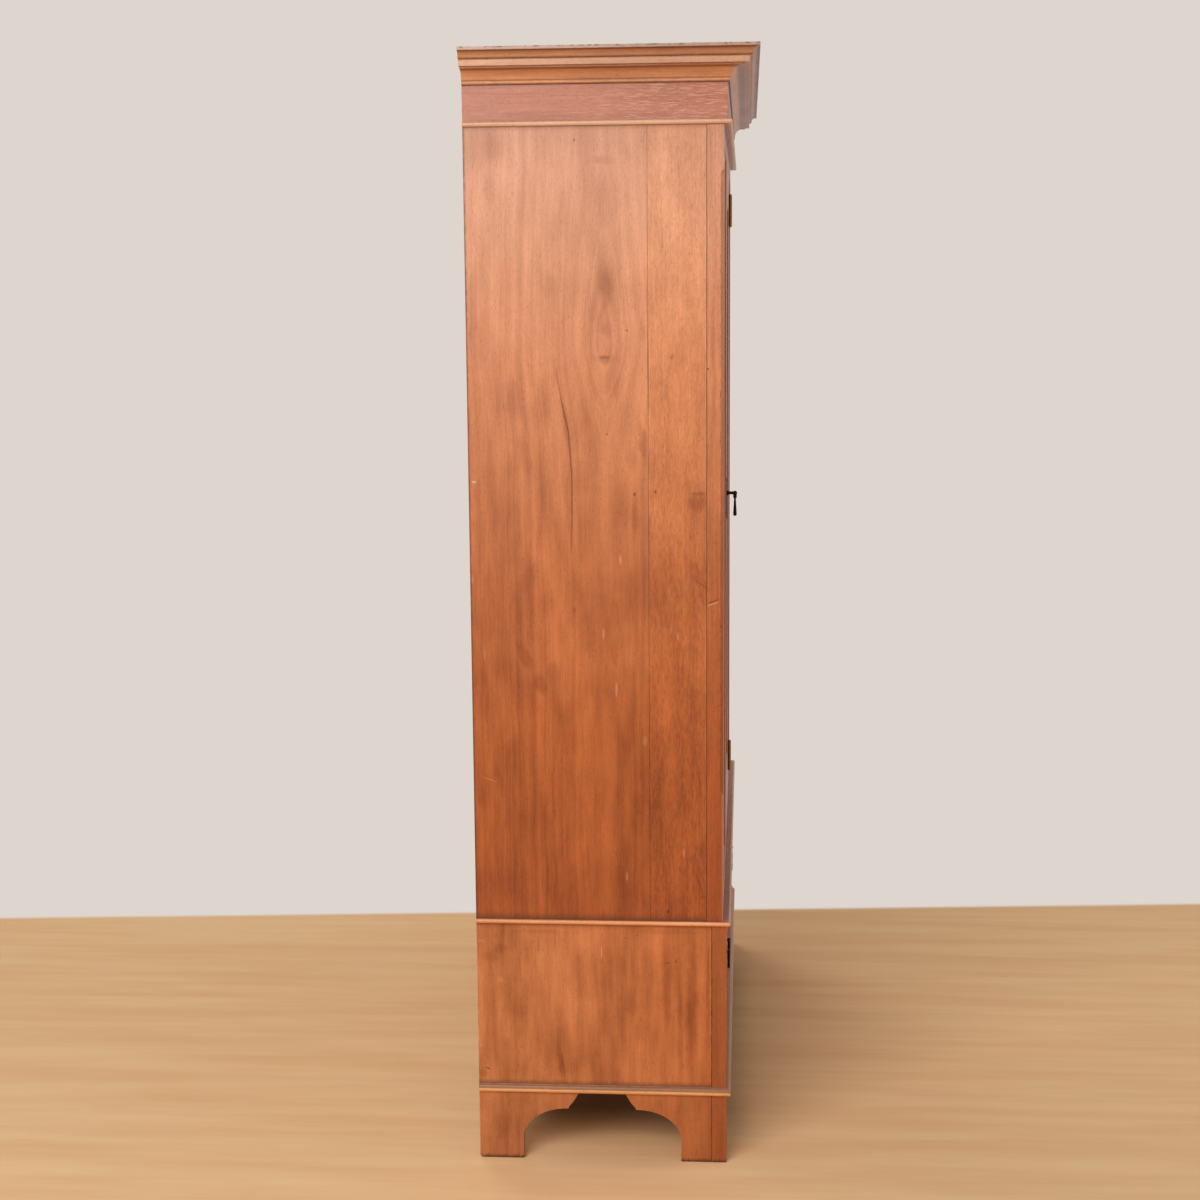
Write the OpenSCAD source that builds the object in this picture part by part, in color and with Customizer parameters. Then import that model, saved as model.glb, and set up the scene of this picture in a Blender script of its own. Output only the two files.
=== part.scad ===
// Wardrobe with one mirrored door, a long drawer below it and a moulded cornice.
// Millimetres. +Z is up, the front faces -Y, and left is -X, as seen from the front.
// The origin is on the floor, in the middle of the box round the whole wardrobe.

/* [Carcass] */
// Width across the two sides
body_w = 1270; // [1180:5:1400]
// Depth from the face of the front frame to the back edge
body_d = 457; // [430:1:540]
// Height of the drawer base with its feet
base_h = 456; // [430:1:500]
// Height of the door section
upper_h = 1416; // [1300:2:1500]
// Thickness of the sides
side_t = 20; // [16:1:24]
// Width of the front board of each upper side
side_front_w = 102; // [60:1:180]
// Open joint between two boards
board_gap = 0.4; // [0.2:0.1:0.8]
// Thickness of the inside boards
inner_t = 12; // [9:0.5:14]
// Thickness of the back boards
back_t = 10; // [6:0.5:14]
// Number of back boards in the door section
back_count = 7; // [5:1:9]

/* [Front frame] */
// How far the front of the door section lies behind the front of the base
upper_set = 6.5; // [2:0.5:12]
// Thickness of the frame round the door
frame_t = 30; // [28:0.5:36]
// Width of the corner stiles
corner_stile_w = 58; // [45:1:80]
// Width of the stiles beside the door
jamb_w = 46; // [36:1:70]
// Height of the rail over the door
top_rail_h = 36; // [30:1:60]
// Height of the rail under the door
bottom_rail_h = 42; // [34:1:60]
// Thickness of the fixed panels
panel_t = 10; // [7:0.5:12]
// How far the panel face lies behind the frame face
panel_set = 12; // [10:0.5:14]
// How far a panel reaches into its groove
panel_tongue = 8; // [5:0.5:12]
// Width of the moulding round a panel
panel_bead_w = 14; // [10:0.5:20]
// Width of the stopped chamfer on the front corners
chamfer_w = 6; // [3:0.5:9]
// Height of the lower end of the chamfer above the door section's foot
chamfer_low = 248; // [120:2:400]
// Distance of the upper end of the chamfer from the door section's top
chamfer_high = 85; // [50:1:200]
// Radius of the scooped ends of the chamfer
chamfer_stop_r = 14; // [10:1:24]

/* [Door] */
// Width of the door
door_w = 428; // [380:2:480]
// Thickness of the door
door_t = 24; // [22:0.5:26]
// Gap round the door
door_gap = 1.5; // [1.2:0.1:2.5]
// Width of the door's stiles
door_stile_w = 76; // [66:1:90]
// Height of the door's top rail
door_top_rail_h = 76; // [60:1:100]
// Height of the door's bottom rail
door_bottom_rail_h = 96; // [70:1:130]
// Length of the tenons on the rails
tenon_l = 42; // [30:1:50]
// Thickness of the tenons
tenon_t = 8; // [6:0.5:9]
// Shoulder above and below a tenon
tenon_shoulder = 12; // [8:1:18]
// Depth of the face left in front of the mirror's rebate
rebate_face = 10; // [8:0.5:11]
// Width of the rebate
rebate_w = 10; // [7:0.5:12]
// Thickness of the mirror plate
mirror_t = 5; // [4:0.5:6]
// Width of the bevel round the mirror
bevel_w = 24; // [16:1:32]
// Thickness ground away at the mirror's edge
bevel_drop = 2; // [1:0.25:2.5]
// Clearance round the mirror and its back board
glass_gap = 0.5; // [0.3:0.1:0.8]
// Thickness of the board behind the mirror
mirror_back_t = 6; // [4:0.5:7]
// Width of the bead round the mirror
mirror_bead_w = 9; // [6:0.5:12]
// How far the bead and the mouldings lie behind the face
bead_set = 1.5; // [1:0.25:3]
// How far the door stops reach into the opening
stop_w = 8; // [5:0.5:12]
// Clearance between the closed door and its stops
stop_gap = 0.3; // [0.2:0.1:0.6]

/* [Butt hinges] */
// Length of a hinge
hinge_l = 65; // [50:1:80]
// Distance from the door's end to the middle of a hinge
hinge_inset = 73; // [60:1:110]
// Number of knuckles
knuckle_count = 5; // [3:2:7]
// Radius of the knuckles
knuckle_r = 3.4; // [3.2:0.1:4.6]
// Space between the knuckles and the wood
knuckle_gap = 0.3; // [0.3:0.1:1]
// Thickness of a leaf
leaf_t = 1.2; // [0.9:0.1:1.5]
// Depth of a leaf in the wood
leaf_reach = 17; // [12:0.5:20]
// Clearance between the moving parts of a hinge
hinge_play = 0.3; // [0.25:0.05:0.4]
// Radius of a hinge pin
hinge_pin_r = 1.5; // [1.3:0.1:1.9]
// Running clearance of every pin in its hole
pin_play = 0.06; // [0.03:0.01:0.09]

/* [Door pull] */
// Height of the pull's pivot above the foot of the door
pull_z = 696; // [620:2:800]
// Height of the back plate
plate_h = 82; // [70:1:90]
// Width of the back plate
plate_w = 22; // [18:0.5:28]
// Thickness of the back plate
plate_t = 2; // [1.5:0.25:3]
// Height of the pivot above the middle of the plate
plate_rise = 11; // [6:0.5:16]
// Distance of the pivot from the door's face
pull_reach = 17; // [15:0.5:22]
// Length of the drop below its pivot
drop_l = 46; // [38:1:56]
// Largest radius of the drop
drop_r = 3.6; // [3:0.1:4.5]
// Thickness of the eye that carries the drop
eye_t = 3.4; // [2.8:0.1:4]
// Radius of the eye
eye_r = 4.2; // [3.8:0.1:4.6]
// Thickness of the fork's cheeks
cheek_t = 1.8; // [1.4:0.1:2.4]
// Radius of the drop's pivot pin
drop_pin_r = 1.3; // [1:0.1:1.6]
// Radius of the keyhole's round part
keyhole_r = 2.6; // [2:0.1:3.4]

/* [Lock] */
// Width of the lock case
lock_w = 52; // [46:1:58]
// Height of the lock case
lock_h = 50; // [40:1:64]
// Thickness of the lock case
lock_t = 12; // [11:0.5:14]
// Height of the bolt
bolt_h = 22; // [16:1:28]
// Thickness of the bolt
bolt_t = 6; // [5:0.5:7]
// Length of the bolt
bolt_l = 24; // [18:1:28]
// Travel of the bolt
bolt_throw = 8; // [5:0.5:10]
// Clearance round the bolt
bolt_gap = 0.3; // [0.25:0.05:0.5]
// Thickness of the strike plate
strike_t = 1.2; // [1:0.1:1.5]
// Border of the strike plate round its hole
strike_rim = 8; // [5:0.5:10]

/* [Drawer] */
// Thickness of the lower front stiles and rails
base_frame_t = 27; // [23:0.5:30]
// Width of the lower corner stiles
lower_stile_w = 60; // [45:1:75]
// Height of the top of the rail under the drawer
drawer_floor_z = 160; // [156:1:180]
// Height of the rail over the drawer
over_rail_h = 22; // [18:1:30]
// Gap round the drawer front
drawer_gap = 1.5; // [1:0.1:2.5]
// How far the drawer front lies behind the front of the base
drawer_set = 6; // [2:0.5:8]
// Thickness of the drawer front
drawer_front_t = 22; // [20:0.5:23]
// Thickness of the drawer's sides and back
drawer_side_t = 12; // [10:0.5:14]
// Length of the drawer from front to back
drawer_l = 400; // [360:2:410]
// Height by which the drawer's sides are lower than its front
drawer_side_drop = 8; // [4:1:20]
// Thickness of the drawer bottom
drawer_bottom_t = 6; // [5:0.5:8]
// Height of the drawer bottom above the runners
drawer_bottom_z = 14; // [13:0.5:18]
// Running clearance between the drawer and its runners and guides
run_gap = 0.3; // [0.2:0.1:0.6]
// Number of dovetails at each front corner
tail_count = 5; // [3:1:7]
// Length of the dovetails
tail_l = 15; // [12:0.5:17]
// Width of the runners
runner_w = 70; // [60:1:80]
// Height of the guides above the runners
guide_h = 20; // [10:1:30]
// Height of the drawer stops
stop_block_h = 26; // [24:0.5:27]

/* [Drawer pulls] */
// Distance from a side of the wardrobe to the middle of a pull
pull_inset = 299; // [240:1:360]
// Height of the pivots above the middle of the drawer front
bail_rise = 19; // [10:1:30]
// Distance between the two posts of a pull
post_spread = 76; // [66:1:100]
// Distance of the pivots from the drawer front
post_reach = 7.5; // [7:0.25:10]
// Radius of the head of a post
post_head_r = 3.6; // [3.4:0.1:4.6]
// Radius of a rose
rose_r = 9; // [7:0.5:12]
// Thickness of a rose
rose_t = 2.2; // [1.6:0.1:3]
// Radius of the bail's rod
bail_rod_r = 2.4; // [2:0.1:2.6]
// Drop of the bail below its pivots
bail_drop = 38; // [34:1:50]
// Radius of the bail's pivot pins
bail_pin_r = 1.5; // [1.2:0.1:1.8]

/* [Feet] */
// Width of a rear foot on the floor, along the side
rear_foot_w = 82; // [60:1:100]
// Width of a front foot on the floor
front_foot_w = 83; // [76:1:110]
// Height of the straight inner edge of a foot
foot_straight = 40; // [20:1:46]
// Width of the hollow curve of a foot
foot_cove_w = 80; // [60:1:86]
// Height of the hollow curve of a foot
foot_cove_h = 58; // [44:1:66]
// Width of the step beyond the hollow curve
foot_step_w = 4; // [2:0.5:6]
// Height of the step beyond the hollow curve
foot_step_h = 3.5; // [3:0.5:7]
// Radius of the bowed nose of a foot
foot_nose_r = 87; // [70:1:110]
// Slope of the bowed nose where it starts, in degrees
foot_nose_turn = 45; // [35:1:55]
// Radius of the worn corner of a rear foot
foot_worn_r = 6; // [3:0.5:10]
// Size of the glue blocks in the feet
foot_block_w = 40; // [30:1:44]
// Distance of the glue blocks from the floor
foot_block_lift = 4; // [2:1:10]

/* [Mouldings] */
// Height of the lower edge of the base moulding
base_mould_z = 130; // [128:1:136]
// How far the arches run up behind the base moulding
brow_lift = 4; // [2:0.5:6]
// Projection of the base moulding
base_mould_p = 7.5; // [6:0.5:14]
// Height of the rounded edge of the base moulding
base_nose_h = 8; // [6:0.5:9]
// Height of the hollow slope above the rounded edge
base_slope_h = 8; // [5:0.5:10]
// Radius of the hollow in the slope
base_cove_r = 7; // [6:0.5:20]
// Projection of the waist moulding
waist_p = 7; // [6:0.5:12]
// Height of the waist moulding
waist_h = 8.6; // [6:0.2:11]
// How far the waist moulding stands above the base
waist_lip = 5; // [2:0.5:6]
// Projection of the frieze bead
bead_p = 7.5; // [6:0.5:12]
// Height of the frieze bead
bead_h = 8; // [6:0.5:11]
// Height of the frieze board
frieze_h = 70; // [50:1:110]

/* [Cornice] */
// Radius of the small bead at the foot of the cornice
astragal_r = 3; // [2:0.25:4]
// Radius of the large hollow
cavetto_r = 19; // [14:0.5:24]
// Projection of the fillet over the large hollow
fillet_p = 5; // [3:0.5:9]
// Height of the fillet over the large hollow
fillet_h = 3; // [2:0.5:5]
// Projection of the plain corona
corona_p = 9; // [6:0.5:14]
// Height of the plain corona
corona_h = 10; // [7:0.5:14]
// Projection of the ledge under the top curve
ledge_p = 1.5; // [1:0.25:4]
// Height of the ledge under the top curve
ledge_h = 1; // [0.5:0.25:3]
// Radius of the top curve's rounded part
ogee_low_r = 4; // [3:0.25:6]
// Radius of the top curve's hollow part
ogee_high_r = 9; // [6:0.25:12]
// Projection of the top fillet
top_fillet_p = 2.5; // [1:0.5:5]
// Height of the top fillet
top_fillet_h = 6; // [4:0.5:9]
// Height of the rail at the back of the cornice
cornice_back_h = 112; // [80:1:118]
// Thickness of the rail at the back of the cornice
cornice_back_t = 20; // [14:1:26]
// Size of the glue blocks in the cornice
cornice_block_w = 34; // [24:1:44]

/* [Inside] */
// Radius of the hanging rail
rail_r = 12.5; // [9:0.5:16]
// Distance of the hanging rail below the carcass top
rail_drop = 95; // [70:1:140]
// Radius of the rail's sockets
socket_r = 24; // [20:0.5:30]
// Thickness of the sockets
socket_t = 12; // [10:0.5:16]
// Depth of the rail in its sockets
socket_bite = 8; // [5:0.5:9]

/* [Hidden] */
$fn = 64;
cut = 1;
// Numbers of short edges on the hollow curve and on the nose of a foot
foot_steps = 24;
nose_steps = 6;
half_w = body_w / 2;
inner_half_w = half_w - side_t;
top_z = base_h + upper_h;
cornice_z = top_z + frieze_h;

// Outward reach of each step of the cornice section, from the foot upward
cavetto_foot_p = astragal_r + 1;
cavetto_top_p = cavetto_foot_p + cavetto_r;
corona_out = cavetto_top_p + fillet_p + corona_p;
ogee_out = corona_out + ledge_p + ogee_low_r + ogee_high_r;
cornice_p = ogee_out + top_fillet_p;

// Height of each step of the cornice section above its foot
cavetto_foot_h = 2 * astragal_r;
cavetto_top_h = cavetto_foot_h + cavetto_r;
corona_foot_h = cavetto_top_h + fillet_h;
corona_top_h = corona_foot_h + corona_h;
ogee_foot_h = corona_top_h + ledge_h;
ogee_top_h = ogee_foot_h + ogee_low_r + ogee_high_r;
cornice_h = ogee_top_h + top_fillet_h;

// The front frame's face lies behind the middle by half of what the cornice adds
front_y = (cornice_p - body_d) / 2;
back_in_y = body_d - back_t;
frame_back_y = upper_set + frame_t;

// Front frame and its panels
door_half_w = door_w / 2;
opening_half_w = door_half_w + door_gap;
panel_in_x = opening_half_w + jamb_w;
panel_out_x = half_w - corner_stile_w;
opening_low_z = base_h + bottom_rail_h;
opening_high_z = top_z - top_rail_h;
panel_open_w = panel_out_x - panel_in_x;
panel_open_h = opening_high_z - opening_low_z;
panel_mid_x = (panel_in_x + panel_out_x) / 2;
opening_mid_z = (opening_low_z + opening_high_z) / 2;
groove_play = 0.2;
mitre_gap = 0.1;
chamfer_depth = chamfer_w / sqrt(2);

// Door
door_low_z = opening_low_z + door_gap;
door_high_z = opening_high_z - door_gap;
door_h = door_high_z - door_low_z;
sight_half_w = door_half_w - door_stile_w;
sight_low_z = door_low_z + door_bottom_rail_h;
sight_high_z = door_high_z - door_top_rail_h;
sight_h = sight_high_z - sight_low_z;
sight_mid_z = (sight_low_z + sight_high_z) / 2;
tenon_y = (door_t - tenon_t) / 2;

// Hinges
hinge_x = door_half_w + door_gap / 2;
hinge_y = -(knuckle_r + knuckle_gap);
hinge_zs = [door_low_z + hinge_inset, door_high_z - hinge_inset];
knuckle_l = hinge_l / knuckle_count;
leaf_off = hinge_play / 2;
pin_tip_r = 2.4;
pin_tip_h = 2.2;

// Door pull and lock, both in the middle of the door's left stile
pull_x = -door_half_w + door_stile_w / 2;
pull_pivot_z = door_low_z + pull_z;
plate_mid_z = pull_pivot_z - plate_rise;
post_r = 3;
keyhole_z = plate_mid_z - plate_h / 4;
keyhole_slot_w = 2.4;
keyhole_slot_l = 9;
cheek_gap = 0.3;
cheek_in_x = eye_t / 2 + cheek_gap;
lock_y = door_t - lock_t;
bolt_y = lock_y + (lock_t - bolt_t) / 2;
mortise_play = 1;
mortise_l = bolt_throw + 2;

// Drawer
brow_z = base_mould_z + brow_lift;
drawer_half_open = half_w - lower_stile_w;
drawer_half_w = drawer_half_open - drawer_gap;
drawer_top_open = base_h - over_rail_h;
drawer_low_z = drawer_floor_z + drawer_gap;
drawer_high_z = drawer_top_open - drawer_gap;
drawer_mid_z = (drawer_low_z + drawer_high_z) / 2;
box_low_z = drawer_floor_z + run_gap;
box_high_z = drawer_high_z - drawer_side_drop;
box_h = box_high_z - box_low_z;
drawer_in_half_w = drawer_half_w - drawer_side_t;
bottom_groove = drawer_side_t / 2;
bottom_low_z = drawer_floor_z + drawer_bottom_z;
bottom_high_z = bottom_low_z + drawer_bottom_t;
back_drop = 12;
tail_pitch = box_h / tail_count;
tail_wide = tail_pitch * 0.72;
tail_slope = tail_l / 7;
kicker_h = base_h - inner_t - drawer_top_open;
stop_block_w = 40;
stop_block_l = 20;

// Drawer pulls: a swan-neck bail drawn from a pivot pin, through two arcs, to a straight grip
bail_x = half_w - pull_inset;
bail_pivot_z = drawer_mid_z + bail_rise;
neck_r = 6.5;
neck_turn = 130;
elbow_r = 12;
collar_r = bail_rod_r + 0.4;
collar_l = 0.8;
neck_start_x = post_spread / 2 - post_head_r - 2.5;
neck_end_x = neck_start_x - neck_r * sin(neck_turn);
neck_end_z = -neck_r * (1 - cos(neck_turn));
elbow_sink = elbow_r * (1 - cos(neck_turn));
shank_l = (bail_drop - bail_rod_r + neck_end_z - elbow_sink) / sin(neck_turn);
shank_end_x = neck_end_x - shank_l * cos(neck_turn);
shank_end_z = neck_end_z - shank_l * sin(neck_turn);
elbow_x = shank_end_x - elbow_r * sin(neck_turn);
elbow_z = shank_end_z + elbow_r * cos(neck_turn);

// Inside
rail_z = top_z - inner_t - rail_drop;
rail_y = (frame_back_y + back_in_y) / 2;
top_board_z = top_z - inner_t;

// Section of the base moulding: the slope is a tangent to the rounded edge and is hollowed a little
base_mould_h = base_nose_h + base_slope_h;
base_top_p = 1;
base_nose_r = base_nose_h / 2;
base_nose_x = base_mould_p - base_nose_r;
base_rise = base_mould_h - base_nose_r;
base_run = base_nose_x - base_top_p;
base_slope_l = sqrt(base_run * base_run + base_rise * base_rise - base_nose_r * base_nose_r);
base_slope_turn = atan2(base_nose_r, base_slope_l) - atan2(base_rise, base_run);
base_cove_half = 0.35 * base_slope_l;
base_cove_off = sqrt(base_cove_r * base_cove_r - base_cove_half * base_cove_half);
block_chamfer = 12;
cornice_block_h = frieze_h - 6;

mahogany = "#b5622f";
mahogany_dark = "#9c4f27";
pine = "#c9a06a";
silver = "#c8d0d4";
brass = "#a8823a";
bronze = "#2a2320";
steel = "#77726a";

// Everything is drawn with y = 0 at a front face, then moved to its place: the base and the frieze,
// the door section and the drawer each have their own front
module at_front() {
    translate([0, front_y, 0]) children();
}

module at_door_front() {
    translate([0, front_y + upper_set, 0]) children();
}

module at_drawer_front() {
    translate([0, front_y + drawer_set, 0]) children();
}

// The child as drawn on the left, and its mirror image on the right
module both_sides() {
    children();
    mirror([1, 0, 0]) children();
}

// A box between two corners
module block(low, high) {
    translate(low) cube(high - low);
}

// A length of moulding across the front, mitred at both ends. The child is its section,
// with +X outward from the face and +Y up. reach is the section's projection, back its inner depth.
module front_run(reach, back, height) {
    intersection() {
        translate([-half_w - reach, 0, 0])
            rotate([90, 0, 90])
                linear_extrude(body_w + 2 * reach)
                    mirror([1, 0]) children();
        translate([0, 0, -cut])
            linear_extrude(height + 2 * cut)
                polygon([
                    [-half_w - reach, -reach], [half_w + reach, -reach],
                    [half_w - back, back], [-half_w + back, back]
                ]);
    }
}

// The same moulding along the left side, mitred at the front and square at the back
module end_run(reach, back, height) {
    intersection() {
        translate([-half_w, -reach, 0])
            rotate([90, 0, 180])
                linear_extrude(body_d + reach) children();
        translate([0, 0, -cut])
            linear_extrude(height + 2 * cut)
                polygon([
                    [-half_w - reach, -reach], [-half_w + back, back],
                    [-half_w + back, body_d], [-half_w - reach, body_d]
                ]);
    }
}

// One strip of a mitred frame, along the lower edge of its opening.
// The child is its section, with +X into the opening and +Y from front to back.
module frame_strip(length, width, depth) {
    intersection() {
        rotate([0, -90, 0]) linear_extrude(length, center = true) children();
        rotate([90, 0, 0])
            linear_extrude(4 * depth, center = true)
                polygon([
                    [-length / 2 + mitre_gap, 0], [length / 2 - mitre_gap, 0],
                    [length / 2 - mitre_gap - width, width], [-length / 2 + mitre_gap + width, width]
                ]);
    }
}

// Four mitred strips round an opening of this width and height
module mitred_frame(open_w, open_h, width, depth) {
    for (turn = [0:3]) {
        across = turn % 2 == 0;
        rotate([0, 90 * turn, 0])
            translate([0, 0, across ? -open_h / 2 : -open_w / 2])
                frame_strip(across ? open_w : open_h, width, depth) children();
    }
}

// The shaped wing of a foot: a straight edge, a hollow curve, a step and a bowed nose.
// The wing leads away from the foot in +X, or in -X where hand is -1. +Y is up.
module foot_wing(hand) {
    step_x = foot_cove_w + foot_step_w;
    step_y = foot_straight + foot_cove_h + foot_step_h;
    last_turn = acos(cos(foot_nose_turn) - (brow_z - step_y) / foot_nose_r);
    end_x = step_x + foot_nose_r * (sin(last_turn) - sin(foot_nose_turn));
    edge = concat(
        [[-cut, brow_z], [-cut, foot_straight]],
        [for (i = [0:foot_steps]) let (turn = 90 * i / foot_steps)
            [foot_cove_w * (1 - cos(turn)), foot_straight + foot_cove_h * sin(turn)]],
        [[step_x, step_y - foot_step_h]],
        [for (i = [0:nose_steps - 1])
            let (turn = foot_nose_turn + (last_turn - foot_nose_turn) * i / nose_steps)
            [step_x + foot_nose_r * (sin(turn) - sin(foot_nose_turn)),
             step_y + foot_nose_r * (cos(foot_nose_turn) - cos(turn))]],
        [[end_x, brow_z]]);
    last = len(edge) - 1;
    polygon([for (i = [0:last]) let (at = edge[hand > 0 ? i : last - i]) [hand * at[0], at[1]]]);
}

// Outline of a lower side: +X runs from the front to the back, +Y is up
module lower_side_outline() {
    difference() {
        union() {
            translate([base_frame_t + board_gap, brow_z])
                square([body_d - base_frame_t - board_gap, base_h - brow_z]);
            translate([base_frame_t + board_gap, 0])
                square([front_foot_w - base_frame_t - board_gap, base_h]);
            translate([body_d - rear_foot_w, 0]) square([rear_foot_w, base_h]);
            translate([front_foot_w, 0]) foot_wing(1);
            translate([body_d - rear_foot_w, 0]) foot_wing(-1);
        }
        difference() {
            translate([body_d - foot_worn_r, -cut]) square([foot_worn_r + cut, foot_worn_r + cut]);
            translate([body_d - foot_worn_r, foot_worn_r]) circle(foot_worn_r);
        }
    }
}

module lower_side() {
    color(mahogany) at_front()
        translate([-half_w, 0, 0])
            rotate([90, 0, 90]) linear_extrude(side_t) lower_side_outline();
}

module lower_side_left() {
    lower_side();
}

module lower_side_right() {
    mirror([1, 0, 0]) lower_side();
}

module lower_stiles() {
    color(mahogany_dark) at_front() both_sides()
        block([-half_w, 0, 0], [-half_w + lower_stile_w, base_frame_t, base_h]);
}

module front_brackets() {
    color(mahogany) at_front() both_sides()
        translate([-half_w + lower_stile_w, base_frame_t, 0])
            rotate([90, 0, 0])
                linear_extrude(base_frame_t) {
                    square([front_foot_w - lower_stile_w, brow_z]);
                    translate([front_foot_w - lower_stile_w, 0]) foot_wing(1);
                }
}

module drawer_rail_bottom() {
    color(mahogany) at_front()
        block([-drawer_half_open, 0, brow_z], [drawer_half_open, base_frame_t, drawer_floor_z]);
}

module drawer_rail_top() {
    color(mahogany) at_front()
        block([-drawer_half_open, 0, drawer_top_open], [drawer_half_open, base_frame_t, base_h]);
}

module base_bottom_board() {
    color(pine) at_front()
        block([-inner_half_w, base_frame_t, brow_z], [inner_half_w, back_in_y, brow_z + inner_t]);
}

module base_top_board() {
    color(pine) at_front()
        block([-inner_half_w, base_frame_t, base_h - inner_t], [inner_half_w, back_in_y, base_h]);
}

module base_back_panel() {
    color(pine) at_front()
        block([-inner_half_w, back_in_y, brow_z], [inner_half_w, body_d, base_h]);
}

// On each side a runner with its guide and a kicker, and two blocks that stop the drawer front
module drawer_runners() {
    guide_x = drawer_half_w + run_gap;
    stop_y = drawer_set + drawer_front_t + run_gap;
    floor_z = brow_z + inner_t;
    color(pine) at_front() both_sides() {
        union() {
            block([-inner_half_w, base_frame_t, floor_z],
                [-inner_half_w + runner_w, back_in_y, drawer_floor_z]);
            block([-inner_half_w, base_frame_t, floor_z],
                [-guide_x, back_in_y, drawer_floor_z + guide_h]);
        }
        block([-inner_half_w, base_frame_t, drawer_top_open],
            [-inner_half_w + runner_w, back_in_y, base_h - inner_t]);
        block([-half_w / 2 - stop_block_w / 2, stop_y, floor_z],
            [-half_w / 2 + stop_block_w / 2, stop_y + stop_block_l, floor_z + stop_block_h]);
    }
}

// A corner block with its inner edge cut off, at the corner (0, 0) and towards +X and +Y
module corner_block(width, height) {
    linear_extrude(height)
        polygon([
            [0, 0], [width, 0], [width, width - block_chamfer],
            [width - block_chamfer, width], [0, width]
        ]);
}

// Blocks behind the front feet, beside the rear feet and in the front corners of the cornice
module glue_blocks() {
    color(pine) at_front() both_sides() {
        translate([-inner_half_w, base_frame_t, foot_block_lift])
            corner_block(foot_block_w, brow_z - foot_block_lift);
        translate([-inner_half_w, back_in_y - foot_block_w, foot_block_lift])
            corner_block(foot_block_w, brow_z - foot_block_lift);
        translate([-inner_half_w, side_t, top_z])
            corner_block(cornice_block_w, cornice_block_h);
    }
}

// A rounded edge with a hollow slope above it
module base_section() {
    slope = [cos(base_slope_turn), sin(base_slope_turn)];
    top = [base_top_p, base_mould_h];
    foot = top + base_slope_l * slope;
    cove = (top + foot) / 2 + base_cove_off * [-slope[1], slope[0]];
    difference() {
        polygon([
            [0, 0], [base_nose_x, 0], [base_nose_x, base_nose_r], foot, top, [0, base_mould_h]
        ]);
        translate(cove) circle(base_cove_r, $fn = 96);
    }
    translate([base_nose_x, base_nose_r]) circle(base_nose_r);
}

// A flat strip with a half-round edge
module round_edge_section(reach, height) {
    square([reach - height / 2, height]);
    translate([reach - height / 2, height / 2]) circle(height / 2);
}

module base_moulding_front() {
    color(mahogany) at_front() translate([0, 0, base_mould_z])
        front_run(base_mould_p, 0, base_mould_h) base_section();
}

module base_moulding_ends() {
    color(mahogany) at_front() both_sides() translate([0, 0, base_mould_z])
        end_run(base_mould_p, 0, base_mould_h) base_section();
}

waist_z = base_h + waist_lip - waist_h;

// The strip across the front also covers the ledge before the door section
module waist_moulding_front() {
    color(mahogany) at_front() {
        translate([0, 0, waist_z]) front_run(waist_p, 0, waist_h) round_edge_section(waist_p, waist_h);
        block([-half_w, 0, base_h], [half_w, upper_set, base_h + waist_lip]);
    }
}

module waist_moulding_ends() {
    color(mahogany) at_front() both_sides() translate([0, 0, waist_z])
        end_run(waist_p, 0, waist_h) round_edge_section(waist_p, waist_h);
}

// Each upper side is two boards edge to edge
module side_boards() {
    color(mahogany) at_front() {
        block([-half_w, frame_back_y + board_gap, base_h],
            [-half_w + side_t, frame_back_y + side_front_w, top_z]);
        block([-half_w, frame_back_y + side_front_w + board_gap, base_h],
            [-half_w + side_t, body_d, top_z]);
    }
}

module side_boards_left() {
    side_boards();
}

module side_boards_right() {
    mirror([1, 0, 0]) side_boards();
}

// The stopped chamfer that is cut from the outer front corner of a stile
module stopped_chamfer() {
    low_z = base_h + chamfer_low;
    high_z = top_z - chamfer_high;
    out = chamfer_stop_r;
    translate([-half_w, 0, 0])
        rotate([90, 0, 225])
            linear_extrude(6 * chamfer_w, center = true) {
                translate([-chamfer_depth, low_z]) square([2 * out, high_z - low_z]);
                translate([out - chamfer_depth, low_z]) circle(out);
                translate([out - chamfer_depth, high_z]) circle(out);
            }
}

// The space that a left panel takes up in the frame, grown by play
module panel_space(play) {
    grow = panel_tongue + play;
    block([-panel_out_x - grow, panel_set - play, opening_low_z - grow],
        [-panel_in_x + grow, panel_set + panel_t + play, opening_high_z + grow]);
}

module corner_stiles() {
    color(mahogany_dark) at_door_front() both_sides()
        difference() {
            block([-half_w, 0, base_h], [-panel_out_x, frame_t, top_z]);
            stopped_chamfer();
            panel_space(groove_play);
        }
}

// A stile beside the door, as drawn on the left
module jamb() {
    difference() {
        block([-panel_in_x, 0, opening_low_z], [-opening_half_w, frame_t, opening_high_z]);
        panel_space(groove_play);
    }
}

module strike_space(play, depth) {
    rim = strike_rim + play;
    block([-opening_half_w - depth, bolt_y - rim, keyhole_z - bolt_h / 2 - rim],
        [-opening_half_w + cut, bolt_y + bolt_t + rim, keyhole_z + bolt_h / 2 + rim]);
}

// The hole that the thrown bolt enters
module bolt_mortise() {
    block([-opening_half_w - mortise_l, bolt_y - mortise_play, keyhole_z - bolt_h / 2 - mortise_play],
        [-opening_half_w + cut, bolt_y + bolt_t + mortise_play, keyhole_z + bolt_h / 2 + mortise_play]);
}

module jamb_stile_left() {
    color(mahogany_dark) at_door_front() difference() {
        jamb();
        strike_space(0, strike_t);
        bolt_mortise();
    }
}

module jamb_stile_right() {
    color(mahogany_dark) at_door_front() difference() {
        mirror([1, 0, 0]) jamb();
        leaf_recesses();
    }
}

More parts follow.
